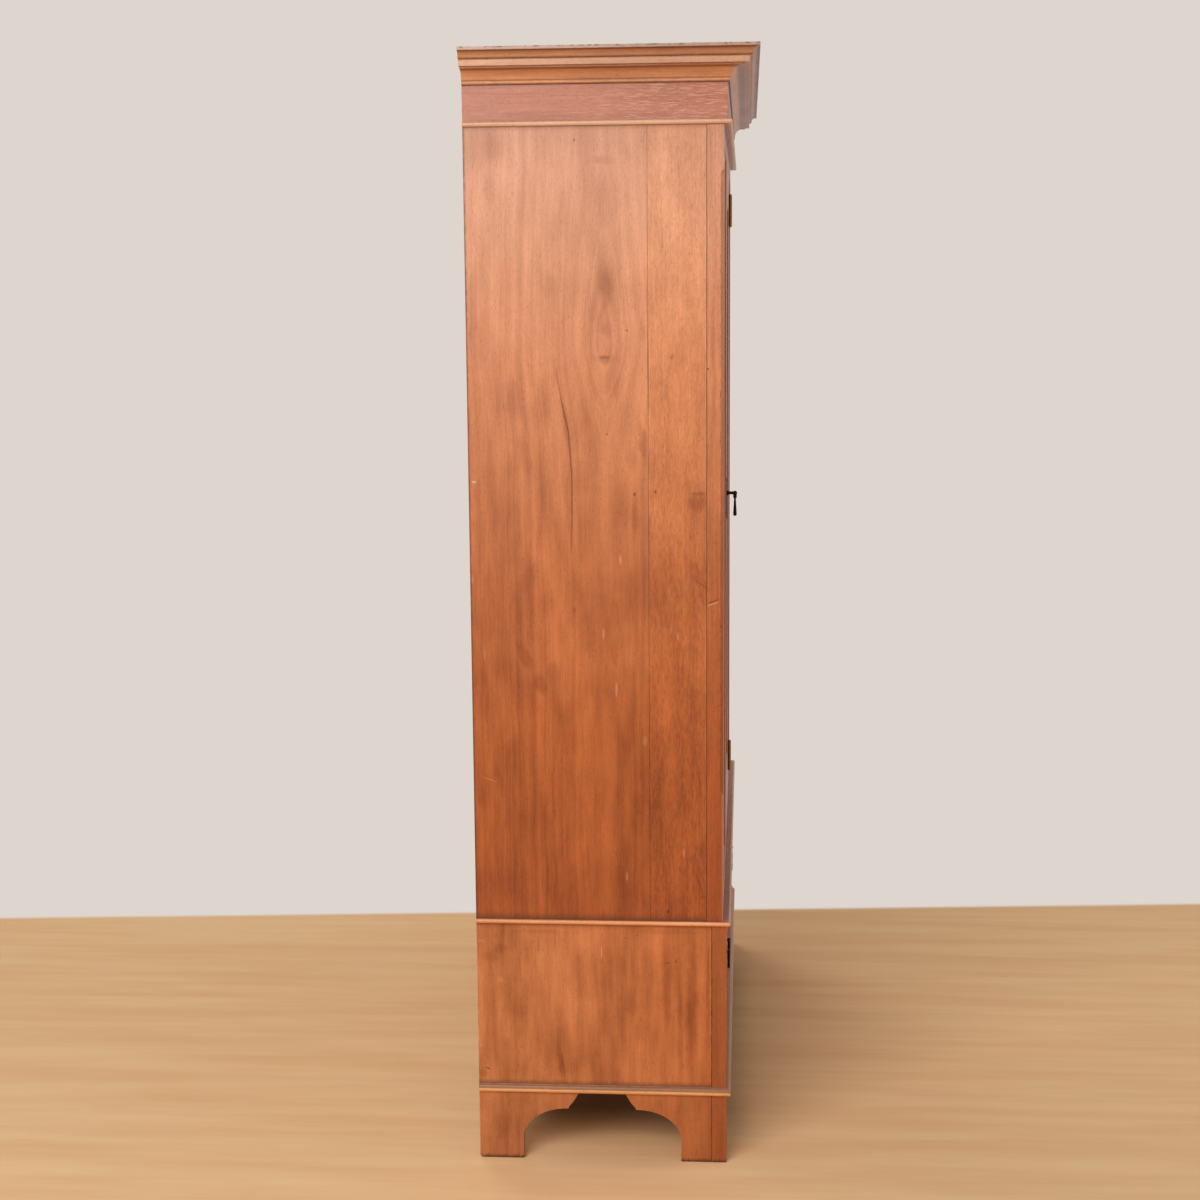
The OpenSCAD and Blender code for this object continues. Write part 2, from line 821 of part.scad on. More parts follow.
module strike_plate() {
    color(brass) at_door_front() intersection() {
        difference() {
            strike_space(0, strike_t);
            bolt_mortise();
        }
        block([-half_w, 0, 0], [-opening_half_w, frame_t, top_z]);
    }
}

module face_rail_top() {
    color(mahogany) at_door_front() difference() {
        block([-panel_out_x, 0, opening_high_z], [panel_out_x, frame_t, top_z]);
        both_sides() panel_space(groove_play);
    }
}

module face_rail_bottom() {
    color(mahogany) at_door_front() difference() {
        block([-panel_out_x, 0, base_h], [panel_out_x, frame_t, opening_low_z]);
        both_sides() panel_space(groove_play);
    }
}

module flank_panels() {
    color(mahogany) at_door_front() both_sides() panel_space(0);
}

// A moulding with a rounded face between the frame and the panel
module panel_bead_section() {
    depth = panel_set - bead_set;
    intersection() {
        square([panel_bead_w, depth]);
        union() {
            translate([0, depth]) circle(depth);
            translate([0, depth - 3]) square([panel_bead_w, 3]);
        }
    }
}

module panel_mouldings() {
    color(mahogany_dark) at_door_front() both_sides()
        translate([-panel_mid_x, bead_set, opening_mid_z])
            mitred_frame(panel_open_w, panel_open_h, panel_bead_w, panel_set) panel_bead_section();
}

module carcass_bottom_board() {
    color(pine) at_front()
        block([-inner_half_w, frame_back_y, base_h], [inner_half_w, back_in_y, base_h + inner_t]);
}

module carcass_top_board() {
    color(pine) at_front()
        block([-inner_half_w, frame_back_y, top_board_z], [inner_half_w, back_in_y, top_z]);
}

module back_boards() {
    pitch = 2 * inner_half_w / back_count;
    color(pine) at_front()
        for (i = [0:back_count - 1])
            block([-inner_half_w + i * pitch + board_gap / 2, back_in_y, base_h],
                [-inner_half_w + (i + 1) * pitch - board_gap / 2, body_d, top_z]);
}

module hanging_rail() {
    length = 2 * (inner_half_w - socket_t + socket_bite);
    color(brass) at_front() translate([-length / 2, rail_y, rail_z])
        rotate([0, 90, 0]) cylinder(h = length, r = rail_r);
}

module rail_sockets() {
    rim = 3;
    color(brass) at_front() both_sides()
        translate([-inner_half_w, rail_y, rail_z])
            rotate([0, 90, 0]) difference() {
                union() {
                    cylinder(h = rim, r = socket_r);
                    cylinder(h = socket_t, r = rail_r + rim);
                }
                translate([0, 0, socket_t - socket_bite])
                    cylinder(h = socket_bite + cut, r = rail_r + pin_play);
            }
}

// Strips in the door opening that the closed door meets: over it, under it and on the lock side
module door_stops() {
    low_y = door_t + stop_gap;
    color(mahogany_dark) at_door_front() {
        block([-opening_half_w, low_y, opening_low_z],
            [-opening_half_w + stop_w, frame_t, opening_high_z]);
        block([-opening_half_w + stop_w + board_gap, low_y, opening_high_z - stop_w],
            [opening_half_w, frame_t, opening_high_z]);
        block([-opening_half_w + stop_w + board_gap, low_y, opening_low_z],
            [opening_half_w, frame_t, opening_low_z + stop_w]);
    }
}

// Knuckle k of a hinge, as a cylinder grown by play
module knuckle(k, play) {
    inset = hinge_play / 2 - play;
    translate([hinge_x, hinge_y, k * knuckle_l + inset])
        cylinder(h = knuckle_l - 2 * inset, r = knuckle_r + play);
}

// One leaf of a hinge with its foot at z = 0. hand is -1 on the door and 1 on the frame.
// first is the number of its lowest knuckle: the leaves take turns.
module hinge_leaf(hand, first) {
    near_x = hinge_x + hand * leaf_off;
    far_x = near_x + hand * leaf_t;
    difference() {
        union() {
            block([min(near_x, far_x), hinge_y, 0], [max(near_x, far_x), leaf_reach, hinge_l]);
            for (k = [first:2:knuckle_count - 1]) knuckle(k, 0);
        }
        for (k = [1 - first:2:knuckle_count - 1]) knuckle(k, hinge_play);
        translate([hinge_x, hinge_y, -cut])
            cylinder(h = hinge_l + 2 * cut, r = hinge_pin_r + pin_play);
    }
}

// The shallow beds of both leaves, cut from the door and the frame
module leaf_recesses() {
    bed = leaf_off + leaf_t;
    for (z = hinge_zs)
        block([hinge_x - bed, -cut, z - hinge_l / 2], [hinge_x + bed, leaf_reach, z + hinge_l / 2]);
}

module hinge_frame_leaves() {
    color(brass) at_door_front()
        for (z = hinge_zs) translate([0, 0, z - hinge_l / 2]) hinge_leaf(1, 0);
}

module hinge_door_leaves() {
    color(brass) at_door_front()
        for (z = hinge_zs) translate([0, 0, z - hinge_l / 2]) hinge_leaf(-1, 1);
}

module hinge_pins() {
    color(brass) at_door_front()
        for (z = hinge_zs)
            translate([hinge_x, hinge_y, z]) {
                cylinder(h = hinge_l, r = hinge_pin_r, center = true);
                for (end = [-1, 1])
                    translate([0, 0, end * (hinge_l + pin_tip_h) / 2])
                        cylinder(h = pin_tip_h, r = pin_tip_r, center = true);
            }
}

module frieze_front() {
    color(mahogany) at_front() translate([0, 0, top_z])
        front_run(0, side_t, frieze_h) translate([-side_t, 0]) square([side_t, frieze_h]);
}

module frieze_ends() {
    color(mahogany) at_front() both_sides() translate([0, 0, top_z])
        end_run(0, side_t, frieze_h) translate([-side_t, 0]) square([side_t, frieze_h]);
}

module frieze_bead_front() {
    color(mahogany) at_front() translate([0, 0, top_z])
        front_run(bead_p, 0, bead_h) round_edge_section(bead_p, bead_h);
}

module frieze_bead_ends() {
    color(mahogany) at_front() both_sides() translate([0, 0, top_z])
        end_run(bead_p, 0, bead_h) round_edge_section(bead_p, bead_h);
}

// The cornice section, from its foot up: a small bead, a large hollow with its fillet,
// the plain corona, a ledge, a double curve and the top fillet
module cornice_section() {
    translate([-side_t, 0]) square([side_t + 1, cornice_h]);
    translate([1, astragal_r]) circle(astragal_r);
    square([cavetto_foot_p - 1, cavetto_foot_h]);
    difference() {
        translate([0, cavetto_foot_h]) square([cavetto_top_p, cavetto_r]);
        translate([cavetto_top_p, cavetto_foot_h]) circle(cavetto_r);
    }
    translate([0, cavetto_top_h]) square([cavetto_top_p + fillet_p, fillet_h]);
    translate([0, corona_foot_h]) square([corona_out, corona_h]);
    translate([0, corona_top_h]) square([corona_out + ledge_p, ledge_h]);
    translate([0, ogee_foot_h]) square([corona_out + ledge_p, ogee_low_r + ogee_high_r]);
    translate([corona_out + ledge_p, ogee_foot_h + ogee_low_r]) circle(ogee_low_r);
    difference() {
        translate([corona_out + ledge_p, ogee_foot_h + ogee_low_r])
            square([ogee_low_r + ogee_high_r, ogee_high_r]);
        translate([ogee_out, ogee_foot_h + ogee_low_r]) circle(ogee_high_r);
    }
    translate([0, ogee_top_h]) square([cornice_p, top_fillet_h]);
}

module cornice_front() {
    color(mahogany) at_front() translate([0, 0, cornice_z])
        front_run(cornice_p, side_t, cornice_h) cornice_section();
}

module cornice_ends() {
    color(mahogany) at_front() both_sides() translate([0, 0, cornice_z])
        end_run(cornice_p, side_t, cornice_h) cornice_section();
}

module cornice_back_rail() {
    color(pine) at_front()
        block([-inner_half_w, body_d - cornice_back_t, top_z],
            [inner_half_w, body_d, top_z + cornice_back_h]);
}

// A tenon on a rail's left end, which is also the mortise in the stile
module tenon(low_z, high_z) {
    block([-sight_half_w - tenon_l, tenon_y, low_z + tenon_shoulder],
        [-sight_half_w, tenon_y + tenon_t, high_z - tenon_shoulder]);
}

// The rebate behind the sight edge, which holds the mirror and its back board
module rebate() {
    block([-sight_half_w - rebate_w, rebate_face, sight_low_z - rebate_w],
        [sight_half_w + rebate_w, door_t + cut, sight_high_z + rebate_w]);
}

module door_stile() {
    difference() {
        block([-door_half_w, 0, door_low_z], [-sight_half_w, door_t, door_high_z]);
        tenon(door_low_z, sight_low_z);
        tenon(sight_high_z, door_high_z);
        rebate();
    }
}

module keyhole(depth) {
    translate([pull_x, depth / 2, keyhole_z]) rotate([90, 0, 0]) {
        cylinder(h = 2 * depth, r = keyhole_r, center = true);
        translate([-keyhole_slot_w / 2, -keyhole_slot_l, -depth])
            cube([keyhole_slot_w, keyhole_slot_l, 2 * depth]);
    }
}

module lock_space(play) {
    block([-door_half_w - cut, lock_y - play, keyhole_z - lock_h / 2 - play],
        [-door_half_w + lock_w + play, door_t + cut, keyhole_z + lock_h / 2 + play]);
}

module door_stile_left() {
    color(mahogany_dark) at_door_front() difference() {
        door_stile();
        keyhole(door_t);
        lock_space(0);
        post_hole();
    }
}

module door_stile_right() {
    color(mahogany_dark) at_door_front() difference() {
        mirror([1, 0, 0]) door_stile();
        leaf_recesses();
    }
}

module door_rail(low_z, high_z) {
    difference() {
        union() {
            block([-sight_half_w, 0, low_z], [sight_half_w, door_t, high_z]);
            both_sides() tenon(low_z, high_z);
        }
        rebate();
    }
}

module door_rail_top() {
    color(mahogany) at_door_front() door_rail(sight_high_z, door_high_z);
}

module door_rail_bottom() {
    color(mahogany) at_door_front() door_rail(door_low_z, sight_low_z);
}

// Half the mirror's thickness profile: full thickness inside, thinner along the bevel
module bevel_profile(width) {
    polygon([
        [-width / 2, mirror_t], [-width / 2, bevel_drop], [-width / 2 + bevel_w, 0],
        [width / 2 - bevel_w, 0], [width / 2, bevel_drop], [width / 2, mirror_t]
    ]);
}

// The plate is where an upright and a level bevelled prism meet
module mirror_plate() {
    plate_wide = 2 * (sight_half_w + rebate_w - glass_gap);
    plate_high = sight_h + 2 * (rebate_w - glass_gap);
    color(silver) at_door_front() translate([0, rebate_face, sight_mid_z])
        intersection() {
            linear_extrude(plate_high, center = true) bevel_profile(plate_wide);
            rotate([0, 90, 0])
                linear_extrude(plate_wide, center = true) bevel_profile(plate_high);
        }
}

module mirror_bead_section() {
    depth = rebate_face - bead_set;
    difference() {
        square([mirror_bead_w, depth]);
        translate([mirror_bead_w, 0]) circle(mirror_bead_w - 2);
    }
}

module mirror_beads() {
    color(mahogany_dark) at_door_front() translate([0, bead_set, sight_mid_z])
        mitred_frame(2 * sight_half_w, sight_h, mirror_bead_w, rebate_face) mirror_bead_section();
}

module mirror_back_board() {
    reach = rebate_w - glass_gap;
    color(pine) at_door_front()
        block([-sight_half_w - reach, door_t - mirror_back_t, sight_low_z - reach],
            [sight_half_w + reach, door_t, sight_high_z + reach]);
}

// Space in which the bolt slides inside the lock case
module bolt_channel() {
    half_h = bolt_h / 2 + bolt_gap;
    block([-door_half_w - cut, bolt_y - bolt_gap, keyhole_z - half_h],
        [-door_half_w + bolt_l + 2 * bolt_gap, bolt_y + bolt_t + bolt_gap, keyhole_z + half_h]);
}

module lock_case() {
    color(steel) at_door_front() difference() {
        block([-door_half_w, lock_y, keyhole_z - lock_h / 2],
            [-door_half_w + lock_w, door_t, keyhole_z + lock_h / 2]);
        bolt_channel();
        keyhole(door_t - 3);
    }
}

module lock_bolt() {
    color(brass) at_door_front()
        block([-door_half_w + bolt_gap, bolt_y, keyhole_z - bolt_h / 2],
            [-door_half_w + bolt_gap + bolt_l, bolt_y + bolt_t, keyhole_z + bolt_h / 2]);
}

// The post goes through the stile and is riveted in a countersink at the back
post_tail_r = 2;

module post_hole() {
    translate([pull_x, door_t / 2, pull_pivot_z])
        rotate([90, 0, 0]) cylinder(h = 2 * door_t, r = post_tail_r + pin_play, center = true);
}

// Outline of the back plate: a straight waist between two rounded ends
module plate_outline() {
    end_y = plate_h / 2 - plate_w / 2;
    difference() {
        union() {
            square([plate_w, 2 * end_y], center = true);
            for (s = [-1, 1]) translate([0, s * end_y]) circle(plate_w / 2);
        }
        for (side = [-1, 1]) for (s = [-1, 1])
            translate([side * (plate_w / 2 + 3), s * end_y]) circle(plate_w / 3.4);
    }
}

// Back plate with its keyhole, the post with its flat eye, and the tail through the stile
module pull_plate() {
    shoulder_y = -(pull_reach - eye_r - 1);
    color(bronze) at_door_front() difference() {
        union() {
            translate([pull_x, 0, plate_mid_z])
                rotate([90, 0, 0]) linear_extrude(plate_t) plate_outline();
            translate([pull_x, 0, pull_pivot_z]) {
                rotate([90, 0, 0]) cylinder(h = -shoulder_y, r = post_r);
                rotate([90, 0, 0]) cylinder(h = plate_t + 2, r = post_r + 2);
                rotate([-90, 0, 0]) cylinder(h = door_t, r = post_tail_r);
                translate([-eye_t / 2, -pull_reach, -post_r])
                    cube([eye_t, pull_reach + shoulder_y + cut, 2 * post_r]);
                translate([0, -pull_reach, 0]) rotate([0, 90, 0])
                    cylinder(h = eye_t, r = eye_r, center = true);
            }
        }
        keyhole(door_t);
        translate([pull_x, -pull_reach, pull_pivot_z]) rotate([0, 90, 0])
            cylinder(h = 2 * eye_r, r = drop_pin_r + pin_play, center = true);
    }
}

// A fork with its pin, and below it the tapered drop with a ball end
module drop_handle() {
    crotch_z = -(eye_r + 0.6);
    bridge_h = 3;
    outer_x = cheek_in_x + cheek_t;
    neck_r_low = 2;
    color(bronze) at_door_front() translate([pull_x, -pull_reach, pull_pivot_z]) {
        for (side = [-1, 1]) {
            translate([side * (cheek_in_x + cheek_t / 2), 0, 0]) {
                rotate([0, 90, 0]) cylinder(h = cheek_t, r = drop_r, center = true);
                translate([-cheek_t / 2, -drop_r, crotch_z - bridge_h])
                    cube([cheek_t, 2 * drop_r, bridge_h - crotch_z]);
            }
        }
        rotate([0, 90, 0]) cylinder(h = 2 * cheek_in_x + cheek_t, r = drop_pin_r, center = true);
        translate([-outer_x, -drop_r, crotch_z - bridge_h]) cube([2 * outer_x, 2 * drop_r, bridge_h]);
        rotate_extrude() drop_profile(crotch_z - bridge_h, neck_r_low);
    }
}

// Right half of the drop: a collar, a slim neck that swells, and a round end
module drop_profile(top, neck) {
    ball_z = -(drop_l - drop_r);
    translate([0, top - 2.5]) square([neck + 1.2, 3]);
    polygon([[0, top], [neck, top], [neck, top - 5], [drop_r, ball_z], [0, ball_z]]);
    intersection() {
        translate([0, ball_z]) circle(drop_r);
        translate([0, ball_z - drop_r]) square([drop_r, 2 * drop_r]);
    }
}

// Centre heights of the dovetails above the foot of the drawer's side
function tail_z(i) = box_low_z + (i + 0.5) * tail_pitch;

// One row of dovetails on the left side of the drawer, pointing forward into the front
module tails() {
    near_y = drawer_front_t;
    for (i = [0:tail_count - 1])
        translate([-drawer_half_w, 0, tail_z(i)])
            rotate([90, 0, 90])
                linear_extrude(drawer_side_t)
                    polygon([
                        [near_y, -tail_wide / 2 + tail_slope], [near_y, tail_wide / 2 - tail_slope],
                        [near_y - tail_l, tail_wide / 2], [near_y - tail_l, -tail_wide / 2]
                    ]);
}

module bottom_slot(play) {
    reach = drawer_in_half_w + bottom_groove;
    block([-reach - play, drawer_front_t - bottom_groove - play, bottom_low_z - play],
        [reach + play, drawer_l, bottom_high_z + play]);
}

module drawer_front() {
    color(mahogany) at_drawer_front() difference() {
        block([-drawer_half_w, 0, drawer_low_z], [drawer_half_w, drawer_front_t, drawer_high_z]);
        both_sides() tails();
        bottom_slot(groove_play);
        for (pull = [-1, 1]) for (post = [-1, 1])
            translate([pull * bail_x + post * post_spread / 2, drawer_front_t / 2, bail_pivot_z])
                rotate([90, 0, 0])
                    cylinder(h = 2 * drawer_front_t, r = post_tail_r + pin_play, center = true);
    }
}

module drawer_sides() {
    color(pine) at_drawer_front() both_sides() difference() {
        union() {
            block([-drawer_half_w, drawer_front_t, box_low_z], [-drawer_in_half_w, drawer_l, box_high_z]);
            tails();
        }
        bottom_slot(groove_play);
    }
}

module drawer_back() {
    color(pine) at_drawer_front()
        block([-drawer_in_half_w, drawer_l - drawer_side_t, bottom_high_z + groove_play],
            [drawer_in_half_w, drawer_l, box_high_z - back_drop]);
}

module drawer_bottom() {
    color(pine) at_drawer_front() bottom_slot(0);
}

// Half section of a rose with its post, turned about the post's axis: +Y leads out of the drawer.
// A tail, a stepped disc, a neck and a round head
module rose_section() {
    step = 1.2;
    translate([0, -drawer_front_t]) square([post_tail_r, drawer_front_t + cut]);
    square([rose_r, rose_t]);
    square([rose_r * 0.6, rose_t + step]);
    square([post_head_r * 0.65, post_reach]);
    intersection() {
        translate([0, post_reach]) circle(post_head_r);
        translate([0, post_reach - post_head_r]) square([post_head_r, 2 * post_head_r]);
    }
}

// Four roses with their posts, each head bored for the bail's pin
module bail_rose() {
    difference() {
        rotate([90, 0, 0]) rotate_extrude() rose_section();
        translate([0, -post_reach, 0]) rotate([0, 90, 0])
            cylinder(h = 4 * post_head_r, r = bail_pin_r + pin_play, center = true);
    }
}

module bail_roses() {
    color(bronze) at_drawer_front()
        for (pull = [-1, 1]) for (post = [-1, 1])
            translate([pull * bail_x + post * post_spread / 2, 0, bail_pivot_z]) bail_rose();
}

// A bent stretch of the bail's rod: an arc about (x, z) from one angle, counted from +X towards +Z
module rod_arc(x, z, radius, start, sweep) {
    translate([x, 0, z])
        rotate([90, 0, 0])
            rotate([0, 0, start])
                rotate_extrude(angle = sweep) translate([radius, 0]) circle(bail_rod_r, $fn = 32);
}

// Right half of the bail, hanging from the pivot line at z = 0, with a collar at each joint
module bail_half() {
    pin_end_x = post_spread / 2 + post_head_r;
    translate([neck_start_x, 0, 0])
        rotate([0, 90, 0]) cylinder(h = pin_end_x - neck_start_x, r = bail_pin_r);
    translate([neck_start_x - collar_l, 0, 0])
        rotate([0, 90, 0]) cylinder(h = 2 * collar_l, r = collar_r);
    rod_arc(neck_start_x, -neck_r, neck_r, 90, neck_turn);
    translate([neck_end_x, 0, neck_end_z])
        rotate([0, 270 - neck_turn, 0])
            translate([0, 0, -collar_l]) cylinder(h = shank_l + 2 * collar_l, r = collar_r);
    rod_arc(elbow_x, elbow_z, elbow_r, -90, neck_turn);
}

// Two halves joined by a straight grip
module bail(x) {
    color(bronze) at_drawer_front() translate([x, -post_reach, bail_pivot_z]) {
        both_sides() bail_half();
        translate([0, 0, elbow_z - elbow_r])
            rotate([0, 90, 0])
                cylinder(h = 2 * (elbow_x + collar_l), r = collar_r, center = true);
    }
}

module bail_left() {
    bail(-bail_x);
}

module bail_right() {
    bail(bail_x);
}

lower_side_left();
lower_side_right();
lower_stiles();
front_brackets();
drawer_rail_bottom();
drawer_rail_top();
base_bottom_board();
base_top_board();
base_back_panel();
drawer_runners();
glue_blocks();
base_moulding_front();
base_moulding_ends();
waist_moulding_front();
waist_moulding_ends();
side_boards_left();
side_boards_right();
corner_stiles();
jamb_stile_left();
jamb_stile_right();
face_rail_top();
face_rail_bottom();
flank_panels();
panel_mouldings();
carcass_bottom_board();
carcass_top_board();
back_boards();
hanging_rail();
rail_sockets();
door_stops();
strike_plate();
hinge_frame_leaves();
hinge_pins();
frieze_front();
frieze_ends();
frieze_bead_front();
frieze_bead_ends();
cornice_front();
cornice_ends();
cornice_back_rail();
door_stile_left();
door_stile_right();
door_rail_top();
door_rail_bottom();
mirror_plate();
mirror_beads();
mirror_back_board();
hinge_door_leaves();
lock_case();
pull_plate();
drop_handle();
lock_bolt();
drawer_front();
drawer_sides();
drawer_back();
drawer_bottom();
bail_roses();
bail_left();
bail_right();
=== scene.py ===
"""Looks for a mirrored wardrobe: woods, metals, worn edges, screws and nails, floor, light and camera."""
import math
import random

import bmesh
import bpy
from mathutils import Matrix, Vector


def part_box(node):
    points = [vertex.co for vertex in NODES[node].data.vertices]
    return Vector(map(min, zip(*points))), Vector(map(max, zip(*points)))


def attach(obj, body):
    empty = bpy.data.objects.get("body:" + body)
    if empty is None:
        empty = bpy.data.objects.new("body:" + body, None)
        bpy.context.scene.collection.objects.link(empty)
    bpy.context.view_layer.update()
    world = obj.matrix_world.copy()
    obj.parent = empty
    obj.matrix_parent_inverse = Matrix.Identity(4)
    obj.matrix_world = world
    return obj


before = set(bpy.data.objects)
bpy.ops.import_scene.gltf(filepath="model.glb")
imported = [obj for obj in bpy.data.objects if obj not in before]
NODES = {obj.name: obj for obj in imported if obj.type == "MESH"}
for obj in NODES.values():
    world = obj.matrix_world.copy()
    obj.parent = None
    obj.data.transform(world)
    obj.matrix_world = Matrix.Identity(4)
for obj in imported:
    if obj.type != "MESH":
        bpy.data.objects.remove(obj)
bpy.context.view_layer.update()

# The photograph's camera, in the model's frame
CAMERA_PLACE = Vector((-4.11177, -0.23367, 1.57832))
CAMERA_YAW, CAMERA_PITCH, CAMERA_ROLL = 0.07399, -0.15052, -0.00795
FOCAL_PX = 1987.0
PHOTO_PX = 1200
SENSOR_MM = 36.0
CLIP_START = 0.05

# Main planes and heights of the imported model, in metres
SIDE_X = -0.635
BASE_Y = -0.2015
DOOR_Y = -0.195
BACK_Y = 0.2555
BASE_MOULD_Z = 0.146
BASE_TOP_Z = 0.4524
WAIST_Z = 0.461
TOP_Z = 1.872
FRIEZE_TOP_Z = 1.942
CORNICE_TOP_Z = 2.0
SEAM_Y = -0.063
STILE_JOINT_Y = -0.165
LOW_JOINT_Y = -0.1745

bpy.context.scene.view_settings.view_transform = "Standard"


# Colours and node trees
def srgb(red, green, blue):
    """A colour given by values from 0 to 255, as the shader wants it."""
    def linear(value):
        value /= 255
        return value / 12.92 if value <= 0.04045 else ((value + 0.055) / 1.055) ** 2.4
    return linear(red), linear(green), linear(blue), 1.0


def fade(*stops):
    """Colour stops from rows of position, red, green and blue."""
    return tuple((at, srgb(red, green, blue)) for at, red, green, blue in stops)


class Tree:
    """A material's node tree with short calls. Each value may be a socket or a constant."""

    def __init__(self, name):
        self.material = bpy.data.materials.new(name)
        self.material.use_nodes = True
        self.tree = self.material.node_tree
        self.tree.nodes.clear()
        self.place = self.add("ShaderNodeTexCoord").outputs["Object"]
        split = self.add("ShaderNodeSeparateXYZ")
        self.feed(split.inputs[0], self.place)
        self.x, self.y, self.z = split.outputs

    def add(self, kind, **settings):
        node = self.tree.nodes.new(kind)
        for key, value in settings.items():
            setattr(node, key, value)
        return node

    def feed(self, socket, value):
        if isinstance(value, bpy.types.NodeSocket):
            self.tree.links.new(value, socket)
        elif isinstance(value, tuple):
            socket.default_value = (value + (1.0,))[:len(socket.default_value)]
        else:
            socket.default_value = value

    def call(self, kind, values, output=0, **settings):
        node = self.add(kind, **settings)
        for socket, value in zip(node.inputs, values):
            self.feed(socket, value)
        return node.outputs[output]

    def math(self, operation, *values):
        return self.call("ShaderNodeMath", values, operation=operation)

    def vector(self, operation, *values):
        output = 1 if operation == "LENGTH" else 0
        return self.call("ShaderNodeVectorMath", values, output, operation=operation)

    def mix(self, share, first, second, blend="MIX"):
        node = self.add("ShaderNodeMix", data_type="RGBA", blend_type=blend)
        for index, value in ((0, share), (6, first), (7, second)):
            self.feed(node.inputs[index], value)
        return node.outputs[2]

    def darken(self, share, colour, shade):
        """The colour, a share of it multiplied by a shade."""
        return self.mix(share, colour, self.mix(1.0, colour, shade, "MULTIPLY"))

    def blend(self, share, first, second):
        """A value that goes from first to second as the share goes from 0 to 1."""
        return self.math("MULTIPLY_ADD", share, self.math("SUBTRACT", second, first), first)

    def noise(self, place, scale, detail=2.0, roughness=0.5):
        """Noise round 0.5, with features of about 1 / scale metres."""
        node = self.add("ShaderNodeTexNoise")
        settings = {"Vector": place, "Scale": scale, "Detail": detail, "Roughness": roughness}
        for name, value in settings.items():
            self.feed(node.inputs[name], value)
        return node.outputs[0]

    def lines(self, value, scale, detail=2.0):
        """Noise along one value, for lines that follow its contours."""
        node = self.add("ShaderNodeTexNoise", noise_dimensions="1D")
        for name, setting in (("W", value), ("Scale", scale), ("Detail", detail)):
            self.feed(node.inputs[name], setting)
        return node.outputs[0]

    def span(self, value, low, high):
        """A smooth step of the value, from 0 at low to 1 at high."""
        return self.call("ShaderNodeMapRange", (value, low, high), interpolation_type="SMOOTHSTEP")

    def ramp(self, value, stops):
        """A colour ramp through (position, colour) stops."""
        node = self.add("ShaderNodeValToRGB")
        self.feed(node.inputs[0], value)
        elements = node.color_ramp.elements
        while len(elements) < len(stops):
            elements.new(0.5)
        for element, (position, colour) in zip(elements, stops):
            element.position = position
            element.color = colour
        return node.outputs[0]

    def bands(self, value, stops):
        """A colour ramp whose stops are given as values, in the value's own unit."""
        low, high = stops[0][0], stops[-1][0]
        share = self.call("ShaderNodeMapRange", (value, low, high))
        return self.ramp(share, [((at - low) / (high - low), colour) for at, colour in stops])

    def spot(self, place, centre, half, turn=0.0, soft=0.0):
        """1 inside an ellipsoid round centre, fading to 0 at its half sizes. turn is about X, in degrees."""
        near = self.call("ShaderNodeMapping", (place, centre, (math.radians(turn), 0.0, 0.0), half),
                         vector_type="TEXTURE")
        return self.span(self.vector("LENGTH", near), 1.0, soft)

    def finish(self, colour, roughness, height=None, depth=0.0005, constants=None, metallic=0.0):
        """Joins everything to a Principled shader. height makes bump up to depth metres."""
        shader = self.add("ShaderNodeBsdfPrincipled")
        self.feed(shader.inputs["Base Color"], colour)
        self.feed(shader.inputs["Roughness"], roughness)
        self.feed(shader.inputs["Metallic"], metallic)
        for name, value in (constants or {}).items():
            shader.inputs[name].default_value = value
        if height is not None:
            bump = self.add("ShaderNodeBump")
            bump.inputs["Distance"].default_value = depth
            self.feed(bump.inputs["Height"], height)
            self.feed(shader.inputs["Normal"], bump.outputs[0])
        output = self.add("ShaderNodeOutputMaterial")
        self.feed(output.inputs[0], shader.outputs[0])
        return self.material


# Wood
POLISH = {"Coat Weight": 0.25, "Coat Roughness": 0.28, "Specular IOR Level": 0.3}
DULL = {"Specular IOR Level": 0.25}
# How much red, green and blue change with the grain's tone
TONE_GAIN = (0.75, 0.95, 1.15)
PORE_SHADE = (0.50, 0.42, 0.36, 1.0)
# Dark dirt; the same colour also paints shade in creases and shadow under mouldings.
DIRT_AND_SHADE = srgb(84, 46, 27)


def grain_layers(t, axis, shift):
    """The layers of a board whose grain runs along an axis, from broad bands down to pores."""
    place = t.vector("ADD", t.place, shift)

    def along(vector, amount):
        return t.vector("MULTIPLY", vector, tuple(amount if axis == name else 1.0 for name in "XYZ"))

    sway = t.call("ShaderNodeTexNoise", (along(place, 0.35), 0.0, 4.0, 1.0), 1)
    swayed = t.vector("MULTIPLY_ADD", t.vector("SUBTRACT", sway, (0.5, 0.5, 0.5)), (0.014,) * 3, place)
    return {
        "place": swayed,
        "bands": t.noise(along(swayed, 0.20), 13.0, 3.0),
        "drifts": t.noise(along(swayed, 0.22), 42.0, 2.0),
        "streaks": t.noise(along(swayed, 0.05), 75.0, 3.0, 0.6),
        "lines": t.noise(along(swayed, 0.03), 330.0, 3.0, 0.6),
        "hair": t.noise(along(swayed, 0.02), 1000.0),
        "pores": t.noise(along(swayed, 0.09), 1500.0, 1.0),
        "flecks": t.noise(along(swayed, 0.30), 210.0, 3.0, 0.65),
        "specks": t.noise(along(swayed, 0.13), 480.0, 2.0, 0.6),
        "blotches": t.noise(place, 8.0, 4.0, 0.6),
    }


WEIGHTS = {"bands": 0.8, "blotches": 0.45, "streaks": 0.55, "lines": 0.5, "hair": 0.3, "flecks": 0.35}


def grain_tone(t, layers, weights=WEIGHTS):
    """The grain's tone round 0: below it darker, above it paler."""
    tone = 0.0
    for name, weight in weights.items():
        tone = t.math("MULTIPLY_ADD", t.math("SUBTRACT", layers[name], 0.5), weight, tone)
    return tone


